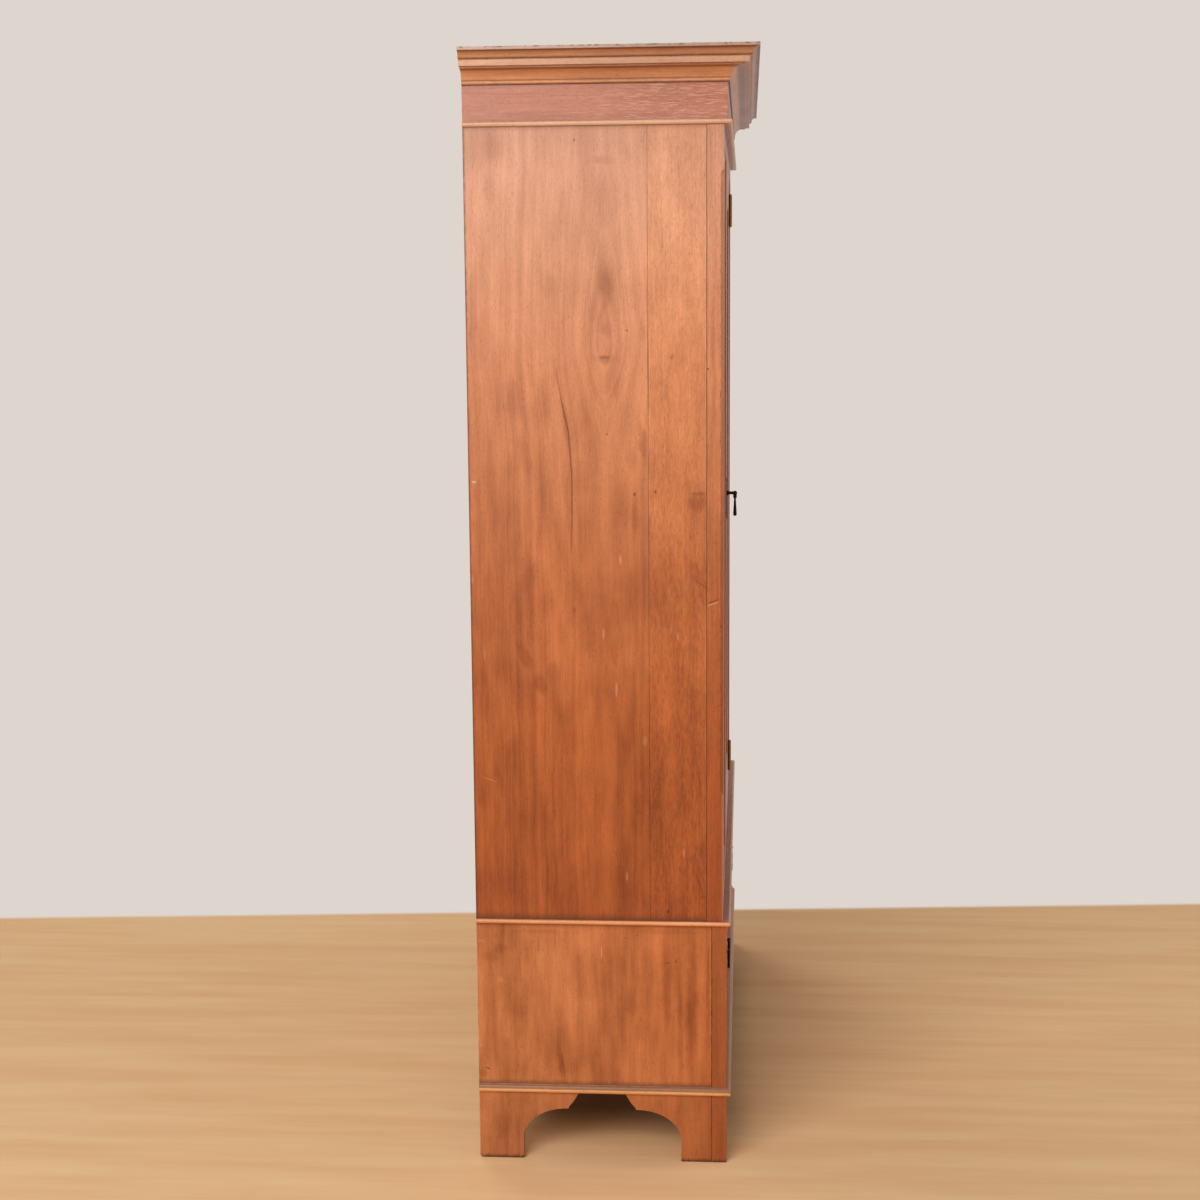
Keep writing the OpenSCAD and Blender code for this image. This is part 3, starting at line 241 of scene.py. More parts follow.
def toned(t, colour, tone, contrast=1.0):
    """The colour with the grain's tone worked into it."""
    gain = t.vector("MULTIPLY_ADD", tone, tuple(g * contrast for g in TONE_GAIN), (1.0, 1.0, 1.0))
    return t.vector("MULTIPLY", colour, gain)


def add_wear(t, colour, layers, amount):
    """Pale rubbed patches and dark dirty ones, for edges."""
    rubbed = t.span(t.noise(layers["place"], 60.0, 4.0, 0.6), 0.44, 0.60)
    pale = t.vector("MULTIPLY_ADD", colour, (1.15,) * 3, (0.09, 0.07, 0.05))
    colour = t.mix(t.math("MULTIPLY", rubbed, amount), colour, pale)
    dirty = t.span(t.noise(layers["place"], 26.0, 3.0), 0.56, 0.66)
    return t.mix(t.math("MULTIPLY", dirty, 0.7 * amount), colour, DIRT_AND_SHADE)


def wood(name, axis, colour, shift=(0.0, 0.0, 0.0), contrast=1.0, paint=None, polish=True):
    """Wood and its worn edge as two materials. paint(t, layers) returns a board's own colour."""
    made = []
    for part in ("", "_edge"):
        t = Tree(name + part)
        layers = grain_layers(t, axis, shift)
        board = toned(t, colour, grain_tone(t, layers), contrast) if paint is None else paint(t, layers)
        pores = t.span(layers["pores"], 0.62, 0.72)
        board = t.darken(t.math("MULTIPLY", pores, 0.70), board, PORE_SHADE)
        if part:
            board = add_wear(t, board, layers, 0.75)
        rough = t.math("MULTIPLY_ADD", layers["blotches"], 0.30, 0.30 if polish else 0.55)
        height = t.math("MULTIPLY_ADD", pores, -0.7, t.math("MULTIPLY", layers["lines"], 0.5))
        made.append(t.finish(board, rough, height, 0.00010, POLISH if polish else DULL))
    return made


# Marks on the left side: where they lie was read in enlarged views of the photograph, and their sizes
# and strengths were set one by one. Each row is the centre across and down, half the width and half the
# height in the photograph's own pixels, then the turn in degrees and the strength.
DARK_CLOUDS = (
    # The knot and the dark spire over it
    (606, 288, 8, 26, 0, 0.60), (606, 284, 14, 32, 0, 0.40), (606, 329, 9, 11, 0, 0.40),
    (606, 359, 18, 6, 0, 0.40), (602, 160, 16, 6, 0, 0.35), (628, 154, 5, 13, 0, 0.25),
    (549, 286, 12, 18, 0, 0.25), (643, 330, 4, 18, 0, 0.40),
    # The dark corner at the top of the back, and the back edge
    (480, 146, 35, 40, 0, 0.40), (492, 148, 18, 20, 0, 0.30), (489, 189, 7, 29, 0, 0.30),
    (473, 316, 6, 54, 0, 0.30), (478, 494, 6, 18, 0, 0.40), (480, 541, 8, 39, 0, 0.40),
    # Round the long crack
    (514, 398, 12, 30, -4, 0.40), (543, 404, 9, 36, -8, 0.35), (566, 426, 5, 33, -10, 0.40),
    (568, 500, 5, 48, 0, 0.35), (524, 453, 7, 34, -3, 0.40), (543, 473, 6, 66, 0, 0.40),
    (530, 576, 10, 24, 14, 0.40), (546, 606, 13, 24, 0, 0.35), (501, 555, 26, 79, 0, 0.35),
    # Beside the seam, and the round stain on the front board
    (643, 444, 6, 28, -6, 0.75), (632, 459, 9, 17, 0, 0.35), (635, 517, 4, 25, 0, 0.40),
    (625, 517, 4, 23, 0, 0.25), (699, 503, 14.5, 14.5, 0, 0.80), (699, 494, 13, 2.5, 0, 0.65),
    # The slanting clouds of the lower half
    (540, 683, 9, 16, -12, 0.80), (525, 657, 8, 21, -24, 0.70), (553, 673, 10, 18, 0, 0.40),
    (562, 712, 14, 18, -20, 0.40), (528, 688, 14, 18, 0, 0.25), (487, 629, 14, 18, 0, 0.25),
    (614, 653, 6, 18, 0, 0.35), (597, 616, 28, 67, 0, 0.20),
    # Near the waist
    (553, 815, 3, 49, 0, 0.40), (562, 841, 3, 47, 0, 0.30), (527, 856, 10, 37, 0, 0.25),
    (588, 862, 8, 24, 0, 0.30), (638, 803, 8, 18, 0, 0.30), (482, 797, 6, 18, 0, 0.40),
    (494, 880, 10, 18, 0, 0.35),
)
STREAKS = (
    # The long crack
    (558.5, 385, 1.1, 29, -10, 0.45), (565, 417, 1.2, 27, -12, 0.80), (570, 454, 1.2, 35, -4, 0.80),
    (572, 501, 1.1, 41, 0, 0.75), (571.5, 537, 1, 25, 2, 0.55),
    # Small dark spots and dents
    (574, 140, 1.2, 2.3, 0, 0.80), (672, 357, 2.4, 3, 0, 0.45), (627, 330.5, 1.4, 1.4, 0, 0.90),
    (604.5, 357.5, 7, 2, 0, 0.55), (634.5, 494.5, 1.6, 2.8, 0, 1.0), (655.5, 492, 1.8, 2.4, 0, 0.90),
    (607, 434, 1.4, 1.5, 0, 0.80), (574, 610, 3, 4, 0, 0.30), (668, 911.5, 2.5, 3, 0, 0.80),
    (708, 369, 2, 1.4, 0, 1.0),
    # Scratches over the corner stile and beside it
    (702, 585, 0.6, 11.5, -55, 0.80), (713, 601.5, 0.8, 8.5, 68, 1.0), (716, 543, 0.6, 5.5, -80, 0.50),
    (721, 626.5, 0.8, 3, -41, 0.65), (721, 627, 0.6, 2.5, 41, 0.50), (718, 706.5, 0.6, 6, 68, 0.50),
    (717, 711, 0.4, 5.5, 76, 0.40),
)
PALE_MARKS = (
    (620.5, 560, 1.8, 6, 0, 0.35), (603.5, 634, 1.2, 6.5, 0, 0.35), (678, 637, 1.1, 5, 0, 0.30),
    (474, 482, 2.7, 1.5, 0, 0.80), (472.5, 579.5, 0.9, 6, 0, 0.30), (484.5, 653, 1.5, 9, 0, 0.15),
    (713, 604, 0.5, 8, 70, 0.75), (616.5, 689.5, 1.5, 9.5, 0, 0.30), (645, 741, 3, 7, 0, 0.15),
    (684, 853, 1.2, 6, 0, 0.30), (627, 876.5, 1.8, 6, 0, 0.20), (490, 779.5, 0.5, 11, -71, 0.30),
    (602, 139, 3, 1.5, 0, 0.30),
)
LOW_CLOUDS = (
    # Long upright bands near the front and at the back
    (708, 988, 2.6, 76, 0, 0.65), (692, 1001, 8, 120, 0, 0.80), (666, 985, 7, 71, 0, 0.75),
    (681, 1032, 4, 60, 0, 0.45), (679, 997, 3, 61, 0, 0.30), (489, 1002, 11, 70, 0, 0.40),
    # Broad clouds in the middle
    (627, 1005, 27, 54, 0, 0.30), (632, 1003, 8, 24, 0, 0.55), (641, 1032, 10, 18, 0, 0.40),
    (580, 973, 8, 39, 0, 0.35), (603, 1018, 10, 30, 0, 0.30), (524, 1003, 7, 45, 0, 0.35),
    # Stains, and a painted shadow under the waist moulding
    (500, 949, 12, 7, 0, 0.60), (492, 956, 10, 9, 0, 0.50), (560.5, 1061.5, 4.5, 21, -6, 0.85),
    (668, 963, 4, 2, 0, 0.75), (482, 1073, 6, 7, 0, 0.65), (503, 1123, 14, 19, 0, 0.35),
    (537, 931.5, 40, 3.5, 0, 0.35), (665, 932, 50, 3.5, 0, 0.35),
)
LOW_STREAKS = (
    (488, 1068, 0.9, 3.5, -70, 1.0), (676, 961.5, 1.2, 2.5, 0, 0.70), (637, 935, 1.2, 1.2, 0, 0.60),
    (625, 938, 1.2, 1.2, 0, 0.60), (563.5, 1064.5, 1.1, 18, -6, 0.50), (653, 1063, 0.8, 1.3, 0, 0.60),
    (538.5, 944, 1.1, 12.5, 0, 0.35),
)
LOW_PALE = (
    (500.5, 979.5, 3.5, 3.5, 0, 0.50), (481, 1044.5, 2.5, 2.5, 0, 0.60), (481.5, 940.5, 5, 2, 0, 0.40),
    (601.5, 952, 0.9, 8.5, 0, 1.0), (507.5, 1035, 2.5, 3, 0, 0.25),
)
# Marks further right than this reach over the corner stile
STILE_PX = 700
CLOUD_SHADE = (0.66, 0.55, 0.47, 1.0)
STREAK_SHADE = (0.42, 0.33, 0.28, 1.0)
SCRATCHED = srgb(226, 178, 148)
LOW_SCRATCHED = srgb(222, 140, 88)
CLOUD_SWAY = 0.012
MARK_DEPTH = 0.02


def camera_axes():
    """The directions in which the photograph's right, up and forward lead."""
    forward = Vector((math.cos(CAMERA_YAW) * math.cos(CAMERA_PITCH),
                      math.sin(CAMERA_YAW) * math.cos(CAMERA_PITCH), math.sin(CAMERA_PITCH)))
    level = Vector((math.sin(CAMERA_YAW), -math.cos(CAMERA_YAW), 0.0))
    upright = level.cross(forward)
    right = math.cos(CAMERA_ROLL) * level + math.sin(CAMERA_ROLL) * upright
    up = -math.sin(CAMERA_ROLL) * level + math.cos(CAMERA_ROLL) * upright
    return right, up, forward


def on_side(across, down):
    """The place on the left side that a pixel of the photograph shows, and the metres in a pixel there."""
    right, up, forward = camera_axes()
    middle = PHOTO_PX / 2
    ray = forward + (across - middle) / FOCAL_PX * right + (middle - down) / FOCAL_PX * up
    reach = (SIDE_X - CAMERA_PLACE.x) / ray.x
    return CAMERA_PLACE + reach * ray, reach / FOCAL_PX


def add_marks(t, colour, clouds, streaks, pales, pale):
    """Works marks into the colour of the left side. They lie near its face, so nothing else takes them."""
    sway = t.call("ShaderNodeTexNoise", (t.place, 0.0, 45.0, 3.0), 1)
    centred = t.vector("SUBTRACT", t.place, (CLOUD_SWAY / 2,) * 3)
    wavy = t.vector("MULTIPLY_ADD", sway, (CLOUD_SWAY,) * 3, centred)
    for marks, soft in ((clouds, 0.25), (streaks, 0.45), (pales, 0.5)):
        for across, down, half_width, half_height, turn, strength in marks:
            centre, pixel = on_side(across, down)
            half = (MARK_DEPTH, half_width * pixel, half_height * pixel)
            spot = t.spot(wavy if marks is clouds else t.place, tuple(centre), half, turn, soft)
            share = t.math("MULTIPLY", spot, strength)
            if marks is pales:
                colour = t.mix(share, colour, pale)
            else:
                colour = t.darken(share, colour, CLOUD_SHADE if marks is clouds else STREAK_SHADE)
    return colour


def edge_line(t, value, at, half, strength, softness=1.0):
    """How much of a line shows where the value is near at: a line of dirt, of a dark joint, of painted shade
    or of a painted highlight.
    """
    away = t.math("ABSOLUTE", t.math("SUBTRACT", value, at))
    return t.math("MULTIPLY", t.span(away, half, half * (1 - softness)), strength)


def add_dirt_and_shade(t, colour, layers, ragged, lines):
    """Ragged dark lines of dirt and of painted shade along edges and under mouldings. Each line is a value,
    where it lies, its half width and its strength.
    """
    wave = t.math("MULTIPLY_ADD", layers["flecks"], 2 * ragged, -ragged)
    for value, at, half, strength in lines:
        colour = t.mix(edge_line(t, t.math("ADD", value, wave), at, half, strength), colour, DIRT_AND_SHADE)
    return colour


HEART_Y, HEART_Z = 0.0105, 1.495
ARCH_RISE, CHEVRON_RISE, ARCH_DEPTH, ARCH_POWER = 0.19, 0.42, 0.05, 1.6


def figure(t, place):
    """Distance from the heart of the board. Its contours close in arches over and under the knot."""
    bend = t.call("ShaderNodeTexNoise", (t.vector("MULTIPLY", place, (1.0, 1.0, 0.5)), 0.0, 11.0, 2.0), 1)
    near = t.vector("MULTIPLY_ADD", t.vector("SUBTRACT", bend, (0.5,) * 3), (0.0, 0.018, 0.05), place)
    split = t.add("ShaderNodeSeparateXYZ")
    t.feed(split.inputs[0], near)
    across = t.math("ABSOLUTE", t.math("SUBTRACT", split.outputs[1], HEART_Y))
    rise = t.math("SUBTRACT", split.outputs[2], HEART_Z)
    over = t.math("MULTIPLY", t.math("MAXIMUM", rise, 0.0), ARCH_RISE)
    lean = t.math("MULTIPLY_ADD", t.math("MAXIMUM", t.math("MULTIPLY", rise, -1.0), 0.0), CHEVRON_RISE, over)
    depth = t.math("MULTIPLY", t.math("TANH", t.math("DIVIDE", lean, ARCH_DEPTH)), ARCH_DEPTH)
    total = t.math("ADD", t.math("POWER", across, ARCH_POWER), t.math("POWER", depth, ARCH_POWER))
    return t.math("POWER", total, 1 / ARCH_POWER)


# Painted sheen: the sides grow paler and pinker upwards, where the light's sheen lies, and deeper orange
# downwards.
SIDE_SHEEN_BY_HEIGHT = fade((WAIST_Z, 163, 80, 35), (0.62, 171, 87, 39), (0.80, 178, 93, 42), (0.95, 184, 101, 51),
                 (1.10, 188, 107, 59), (1.25, 194, 117, 71), (1.45, 209, 134, 90), (1.65, 214, 147, 107),
                 (1.80, 214, 150, 117), (TOP_Z, 202, 143, 111))
FRONT_BOARD = (1.02, 1.00, 0.93, 1.0)
FRONT_BOARD_LOW = (0.95, 0.94, 0.93, 1.0)
REAR_BOARD = (0.98, 1.0, 1.03, 1.0)
FIGURED = {"bands": 0.50, "drifts": 0.50, "blotches": 0.35, "lines": 0.12, "hair": 0.30, "flecks": 0.14}
SPECKLED = {"flecks": 0.45, "lines": 0.20, "streaks": 0.15}
# How strongly the grain shows at the foot of the side and at its head
LOW_CONTRAST, HIGH_CONTRAST = 2.1, 1.05
# Middles and half heights of the part with clear rings, of the dark spire and of the seam's open part
RINGS_Z, RINGS_HALF = 1.53, 0.26
SPIRE_Z, SPIRE_HALF = 1.60, 0.17
GAP_Z, GAP_HALF = 1.46, 0.11


def upper_side(t, layers, marks=True):
    """The two boards of an upper side: paler above with a painted sheen, a figured rear board and a plain
    speckled front board.
    """
    cloudy_z = t.math("MULTIPLY_ADD", layers["blotches"], 0.10, t.math("SUBTRACT", t.z, 0.05))
    colour = t.bands(cloudy_z, SIDE_SHEEN_BY_HEIGHT)
    front = t.math("LESS_THAN", t.y, SEAM_Y)
    front_tint = t.mix(t.span(t.z, 0.6, 1.2), FRONT_BOARD_LOW, FRONT_BOARD)
    colour = t.vector("MULTIPLY", colour, t.mix(front, REAR_BOARD, front_tint))
    ring = figure(t, t.place)
    heart = t.spot(t.place, (SIDE_X, HEART_Y, RINGS_Z), (1.0, 0.085, RINGS_HALF))
    coarse = t.math("SUBTRACT", t.lines(ring, 95.0, 1.5), 0.5)
    coarse = t.math("MULTIPLY", coarse, t.math("MULTIPLY_ADD", heart, 0.60, 0.30))
    rings = t.math("MULTIPLY_ADD", t.math("SUBTRACT", t.lines(ring, 420.0, 1.0), 0.5), 0.10, coarse)
    own = t.blend(front, rings, grain_tone(t, layers, SPECKLED))
    tone = t.math("ADD", grain_tone(t, layers, FIGURED), own)
    spire = t.spot(t.place, (SIDE_X, HEART_Y, SPIRE_Z), (1.0, 0.06, SPIRE_HALF), 0.0, 0.5)
    inside = t.math("MULTIPLY", t.span(ring, 0.034, 0.024), spire)
    colour = t.darken(t.math("MULTIPLY", inside, 0.30), colour, CLOUD_SHADE)
    strength = t.call("ShaderNodeMapRange", (t.z, 0.50, 1.65, LOW_CONTRAST, HIGH_CONTRAST))
    colour = toned(t, colour, t.math("MULTIPLY", tone, strength))
    speck_share = t.math("MULTIPLY_ADD", front, 0.30, 0.12)
    specks = t.math("MULTIPLY", t.span(layers["specks"], 0.60, 0.72), speck_share)
    colour = t.darken(specks, colour, CLOUD_SHADE)
    if marks:
        colour = add_marks(t, colour, DARK_CLOUDS, STREAKS, PALE_MARKS, SCRATCHED)
        gap = t.spot(t.place, (SIDE_X, SEAM_Y, GAP_Z), (1.0, 1.0, GAP_HALF))
        seam = edge_line(t, t.y, SEAM_Y, 0.0016, t.math("MULTIPLY_ADD", gap, 0.80, 0.03))
        colour = t.mix(seam, colour, DIRT_AND_SHADE)
    # Painted shadow under the bead at the top; along the back edge and above the waist, dirt and painted
    # shade.
    edges = ((t.y, BACK_Y, 0.005, 0.75), (t.z, WAIST_Z, 0.016, 0.55), (t.z, TOP_Z, 0.010, 0.35))
    return add_dirt_and_shade(t, colour, layers, 0.003, edges)


LOW_FADE = fade((BASE_Y, 176, 95, 47), (-0.16, 182, 102, 54), (-0.08, 190, 109, 60), (0.03, 191, 112, 65),
                (0.16, 195, 118, 70), (BACK_Y, 193, 117, 70))
STREAKY = {"bands": 1.0, "drifts": 0.9, "blotches": 0.9, "streaks": 0.55, "lines": 0.35, "hair": 0.35,
           "flecks": 0.2}


def lower_side(t, layers, marks=True):
    """The sides of the base: streaky, with dark upright bands, redder and darker feet and worn corners."""
    colour = t.bands(t.y, LOW_FADE)
    foot = t.span(t.z, 0.150, 0.110)
    colour = t.mix(foot, colour, t.vector("MULTIPLY", colour, (0.92, 0.93, 0.94)))
    colour = toned(t, colour, grain_tone(t, layers, STREAKY))
    if marks:
        colour = add_marks(t, colour, LOW_CLOUDS, LOW_STREAKS, LOW_PALE, LOW_SCRATCHED)
    # Dirt at the foot, a painted shadow under the waist moulding, and dirt and painted shade above the base
    # moulding.
    edges = ((t.z, 0.0, 0.009, 1.0), (t.z, BASE_TOP_Z, 0.012, 0.35), (t.z, BASE_MOULD_Z, 0.010, 0.50))
    return add_dirt_and_shade(t, colour, layers, 0.004, edges)


def unmarked(paint):
    """A side's paint without the left side's marks."""
    return lambda t, layers: paint(t, layers, False)


STILE_TINT = (0.94, 0.90, 0.90, 1.0)
# The sides' painted sheen, tinted for the corner stiles.
STILE_SHEEN_BY_HEIGHT = tuple((z, tuple(c * f for c, f in zip(colour, STILE_TINT))) for z, colour in SIDE_SHEEN_BY_HEIGHT)
STILE_GRAIN = {"streaks": 0.8, "lines": 0.7, "flecks": 0.5, "blotches": 0.5}
CHAMFER_LOW, CHAMFER_HIGH, CHAMFER_END = 0.704, 1.787, 0.01
ARRIS_HIGHLIGHT = srgb(172, 136, 126)
ARRIS_HIGHLIGHT_WIDTH = 0.0035


def corner_stile(t, layers):
    """The corner stiles of the door section take the sides' painted sheen and share their scratches, with a
    painted highlight along the square arris beyond the chamfer.
    """
    colour = toned(t, t.bands(t.z, STILE_SHEEN_BY_HEIGHT), grain_tone(t, layers, STILE_GRAIN))
    streaks, pales = (tuple(mark for mark in marks if mark[0] > STILE_PX) for marks in (STREAKS, PALE_MARKS))
    colour = add_marks(t, colour, (), streaks, pales, SCRATCHED)
    # Painted highlight: a pale lilac line along the front arris where it is square, below and above the
    # chamfer.
    low_end = t.span(t.z, CHAMFER_LOW, CHAMFER_LOW + CHAMFER_END)
    high_end = t.span(t.z, CHAMFER_HIGH, CHAMFER_HIGH - CHAMFER_END)
    square = t.math("SUBTRACT", 1.0, t.math("MULTIPLY", low_end, high_end))
    front_edge = edge_line(t, t.y, DOOR_Y, ARRIS_HIGHLIGHT_WIDTH, 0.6)
    side_edge = edge_line(t, t.math("ABSOLUTE", t.x), -SIDE_X, ARRIS_HIGHLIGHT_WIDTH, 1.0)
    rubbed = t.math("MULTIPLY", t.math("MULTIPLY", front_edge, side_edge), square)
    colour = t.mix(rubbed, colour, ARRIS_HIGHLIGHT)
    return t.mix(edge_line(t, t.y, STILE_JOINT_Y, 0.0022, 0.6), colour, DIRT_AND_SHADE)


LOW_STILE = srgb(168, 90, 44)
OPEN_JOINT = srgb(40, 24, 16)


def low_stile(t, layers):
    """The base's corner stiles, with an open joint beside the side and dirt at the floor."""
    colour = toned(t, LOW_STILE, grain_tone(t, layers))
    colour = t.mix(edge_line(t, t.y, LOW_JOINT_Y, 0.0012, 0.8), colour, OPEN_JOINT)
    return add_dirt_and_shade(t, colour, layers, 0.004, ((t.z, 0.0, 0.009, 1.0),))


CORNICE_X, CORNICE_Y = 0.689, -0.2555
DUSTY = srgb(152, 106, 80)


def by_height(stops, contrast=0.8, chipped=None):
    """A moulding whose colour goes by height: painted light where its faces meet the light, painted shade in
    its quirks and under its ledges; its edges are rubbed or chipped, and a chipped one has dust on its top.
    """
    def paint(t, layers):
        ragged = t.math("MULTIPLY_ADD", layers["flecks"], 0.0012, -0.0006)
        colour = t.bands(t.math("ADD", t.z, ragged), stops)
        colour = toned(t, colour, grain_tone(t, layers), contrast)
        if chipped is None:
            return colour
        past_end = t.math("SUBTRACT", t.math("ABSOLUTE", t.x), CORNICE_X)
        outward = t.math("MAXIMUM", past_end, t.math("SUBTRACT", CORNICE_Y, t.y))
        arris = t.span(outward, -0.006, -0.002)
        chips = t.math("MULTIPLY", t.span(t.noise(t.place, 120.0, 4.0, 0.65), 0.50, 0.58), arris)
        colour = t.mix(t.math("MULTIPLY", chips, edge_line(t, t.z, chipped, 0.0045, 0.8)), colour, DIRT_AND_SHADE)
        level = t.span(t.z, chipped - 0.003, chipped - 0.001)
        top = t.math("MULTIPLY", t.math("SUBTRACT", 1.0, arris), level)
        return t.mix(top, colour, toned(t, DUSTY, grain_tone(t, layers)))
    return paint


# Colours up each moulding: pale where it faces the light, dark in its quirks and under its ledges
CORNICE = fade((FRIEZE_TOP_Z, 120, 72, 46), (1.9432, 176, 114, 76), (1.945, 212, 148, 104),
               (1.9475, 214, 152, 108), (1.949, 128, 76, 48), (1.9505, 196, 132, 90), (1.953, 206, 140, 96),
               (1.964, 214, 154, 112), (1.9665, 150, 96, 64), (1.968, 196, 142, 110), (1.970, 190, 136, 104),
               (1.9715, 200, 148, 114), (1.980, 201, 151, 118), (1.9812, 118, 74, 50), (1.983, 168, 112, 76),
               (1.992, 188, 130, 94), (1.9942, 112, 70, 48), (1.9955, 184, 148, 126),
               (CORNICE_TOP_Z, 186, 156, 141))
WAIST = fade((BASE_TOP_Z, 176, 98, 50), (0.4545, 232, 146, 84), (0.4565, 238, 160, 102),
             (0.459, 238, 170, 120), (0.4605, 220, 158, 118), (WAIST_Z, 165, 104, 70))
BASE_MOULD = fade((0.130, 165, 86, 32), (0.1315, 224, 138, 64), (0.134, 226, 158, 90),
                  (0.1362, 222, 158, 102), (0.1375, 172, 116, 74), (0.1445, 142, 88, 54),
                  (BASE_MOULD_Z, 122, 70, 42))
BEAD = fade((TOP_Z, 222, 182, 154), (1.8735, 216, 170, 138), (1.879, 216, 170, 138), (1.880, 176, 116, 84))
FRIEZE = srgb(178, 112, 85)
FRIEZE_FLECK = srgb(216, 166, 142)
FLECK_STRETCH = 0.07


def frieze(axis):
    """Pinkish boards with fine pale flecks along their level grain, mostly near the front, and a painted
    shadow along their top, under the cornice.
    """
    def paint(t, layers):
        colour = toned(t, FRIEZE, grain_tone(t, layers))
        level = t.vector("MULTIPLY", t.place, tuple(FLECK_STRETCH if axis == name else 1.0 for name in "XYZ"))
        share = t.math("MULTIPLY_ADD", t.span(t.y, 0.10, -0.06), 0.45, 0.05)
        flecks = t.math("MULTIPLY", t.span(t.noise(level, 620.0, 2.0, 0.5), 0.54, 0.63), share)
        colour = t.mix(flecks, colour, FRIEZE_FLECK)
        # Painted shadow under the cornice along the frieze's top.
        return t.mix(edge_line(t, t.z, FRIEZE_TOP_Z, 0.004, 0.5), colour, DIRT_AND_SHADE)
    return paint


def front_wood(tint, contrast):
    """Upright boards of the front, which take half of the sides' painted sheen, so they grow paler upwards
    half as much.
    """
    def paint(t, layers):
        half = t.mix(0.5, t.bands(t.z, SIDE_SHEEN_BY_HEIGHT), MAHOGANY)
        return toned(t, t.vector("MULTIPLY", half, tint), grain_tone(t, layers), contrast)
    return paint


ALONG = {"ends": "Y", "front": "X"}
MAHOGANY = srgb(176, 96, 54)
MAHOGANY_DARK = srgb(160, 84, 46)
DRAWER_WOOD = srgb(180, 98, 54)
PINE = srgb(201, 160, 108)
OLD_PINE = srgb(176, 132, 84)

DRESS = {
    "side_boards_left": wood("side_left", "Z", MAHOGANY, paint=upper_side),
    "side_boards_right": wood("side_right", "Z", MAHOGANY, (0.0, 0.4, 0.2), paint=unmarked(upper_side)),
    "lower_side_left": wood("low_side_left", "Z", MAHOGANY, (0.3, 0.0, 0.6), paint=lower_side),
    "lower_side_right": wood("low_side_right", "Z", MAHOGANY, (0.9, 0.2, 0.1), paint=unmarked(lower_side)),
    "corner_stiles": wood("corner_stile", "Z", MAHOGANY, (0.1, 0.5, 0.7), paint=corner_stile),
    "lower_stiles": wood("low_stile", "Z", MAHOGANY, (0.8, 0.1, 0.3), paint=low_stile),
}
for place, axis in ALONG.items():
    for node, name, shift, paint in (
            ("cornice_", "cornice_", (0.0, 0.0, 0.0), by_height(CORNICE, 0.9, chipped=CORNICE_TOP_Z)),
            ("frieze_", "frieze_", (0.2, 0.2, 0.0), frieze(axis)),
            ("frieze_bead_", "bead_", (0.0, 0.0, 0.0), by_height(BEAD, 0.8)),
            ("waist_moulding_", "waist_", (0.4, 0.3, 0.2), by_height(WAIST, 0.9)),
            ("base_moulding_", "base_", (0.6, 0.1, 0.9), by_height(BASE_MOULD, 0.9))):
        DRESS[node + place] = wood(name + place, axis, MAHOGANY, shift, paint=paint)
upright = wood("upright", "Z", MAHOGANY, (0.2, 0.8, 0.4), paint=front_wood((0.95, 0.92, 0.92), 1.2))
cross = wood("cross", "X", MAHOGANY, (0.9, 0.3, 0.5))
panel = wood("panel", "Z", MAHOGANY, (0.5, 0.9, 0.1), paint=front_wood((1.06, 1.02, 1.0), 1.5))
bead = wood("bead", "Z", MAHOGANY_DARK, (0.3, 0.6, 0.8))
drawer = wood("drawer", "X", DRAWER_WOOD, (0.15, 0.75, 0.3), 1.25)
pine_up = wood("pine_up", "Z", OLD_PINE, (0.7, 0.2, 0.9), 0.8, polish=False)
pine_across = wood("pine_across", "X", PINE, (0.1, 0.4, 0.6), 0.8, polish=False)
pine_deep = wood("pine_deep", "Y", PINE, (0.8, 0.9, 0.2), 0.8, polish=False)
for names, pair in (
        ("jamb_stile_left jamb_stile_right door_stile_left door_stile_right", upright),
        ("face_rail_top face_rail_bottom door_rail_top door_rail_bottom", cross),
        ("drawer_rail_bottom drawer_rail_top front_brackets", cross),
        ("flank_panels", panel), ("panel_mouldings mirror_beads door_stops", bead), ("drawer_front", drawer),
        ("back_boards base_back_panel mirror_back_board", pine_up),
        ("base_bottom_board base_top_board carcass_bottom_board carcass_top_board", pine_across),
        ("cornice_back_rail drawer_back drawer_bottom", pine_across),
        ("drawer_sides drawer_runners glue_blocks", pine_deep)):
    for name in names.split():
        DRESS[name] = pair


# Metal and mirror
def metal(name, colour, worn_colour, roughness, worn_share=0.5):
    """Old metal with a cloudy patina, and its rubbed edges as a second material."""
    made = []
    for part, rubbed in (("", 0.12), ("_edge", worn_share)):
        t = Tree(name + part)
        cloudy = t.noise(t.place, 160.0, 4.0, 0.6)
        fine = t.noise(t.place, 1400.0, 2.0)
        share = t.math("MULTIPLY", t.span(cloudy, 0.42, 0.64), rubbed)
        shade = t.mix(t.span(fine, 0.3, 0.7), colour, tuple(0.7 * c for c in colour[:3]) + (1.0,))
        rough = t.math("MULTIPLY_ADD", cloudy, 0.25, roughness)
        made.append(t.finish(t.mix(share, shade, worn_colour), rough, fine, 0.00008, {}, 1.0))
    return made


SILVER = srgb(226, 230, 230)
BARE_GLASS = srgb(96, 84, 70)


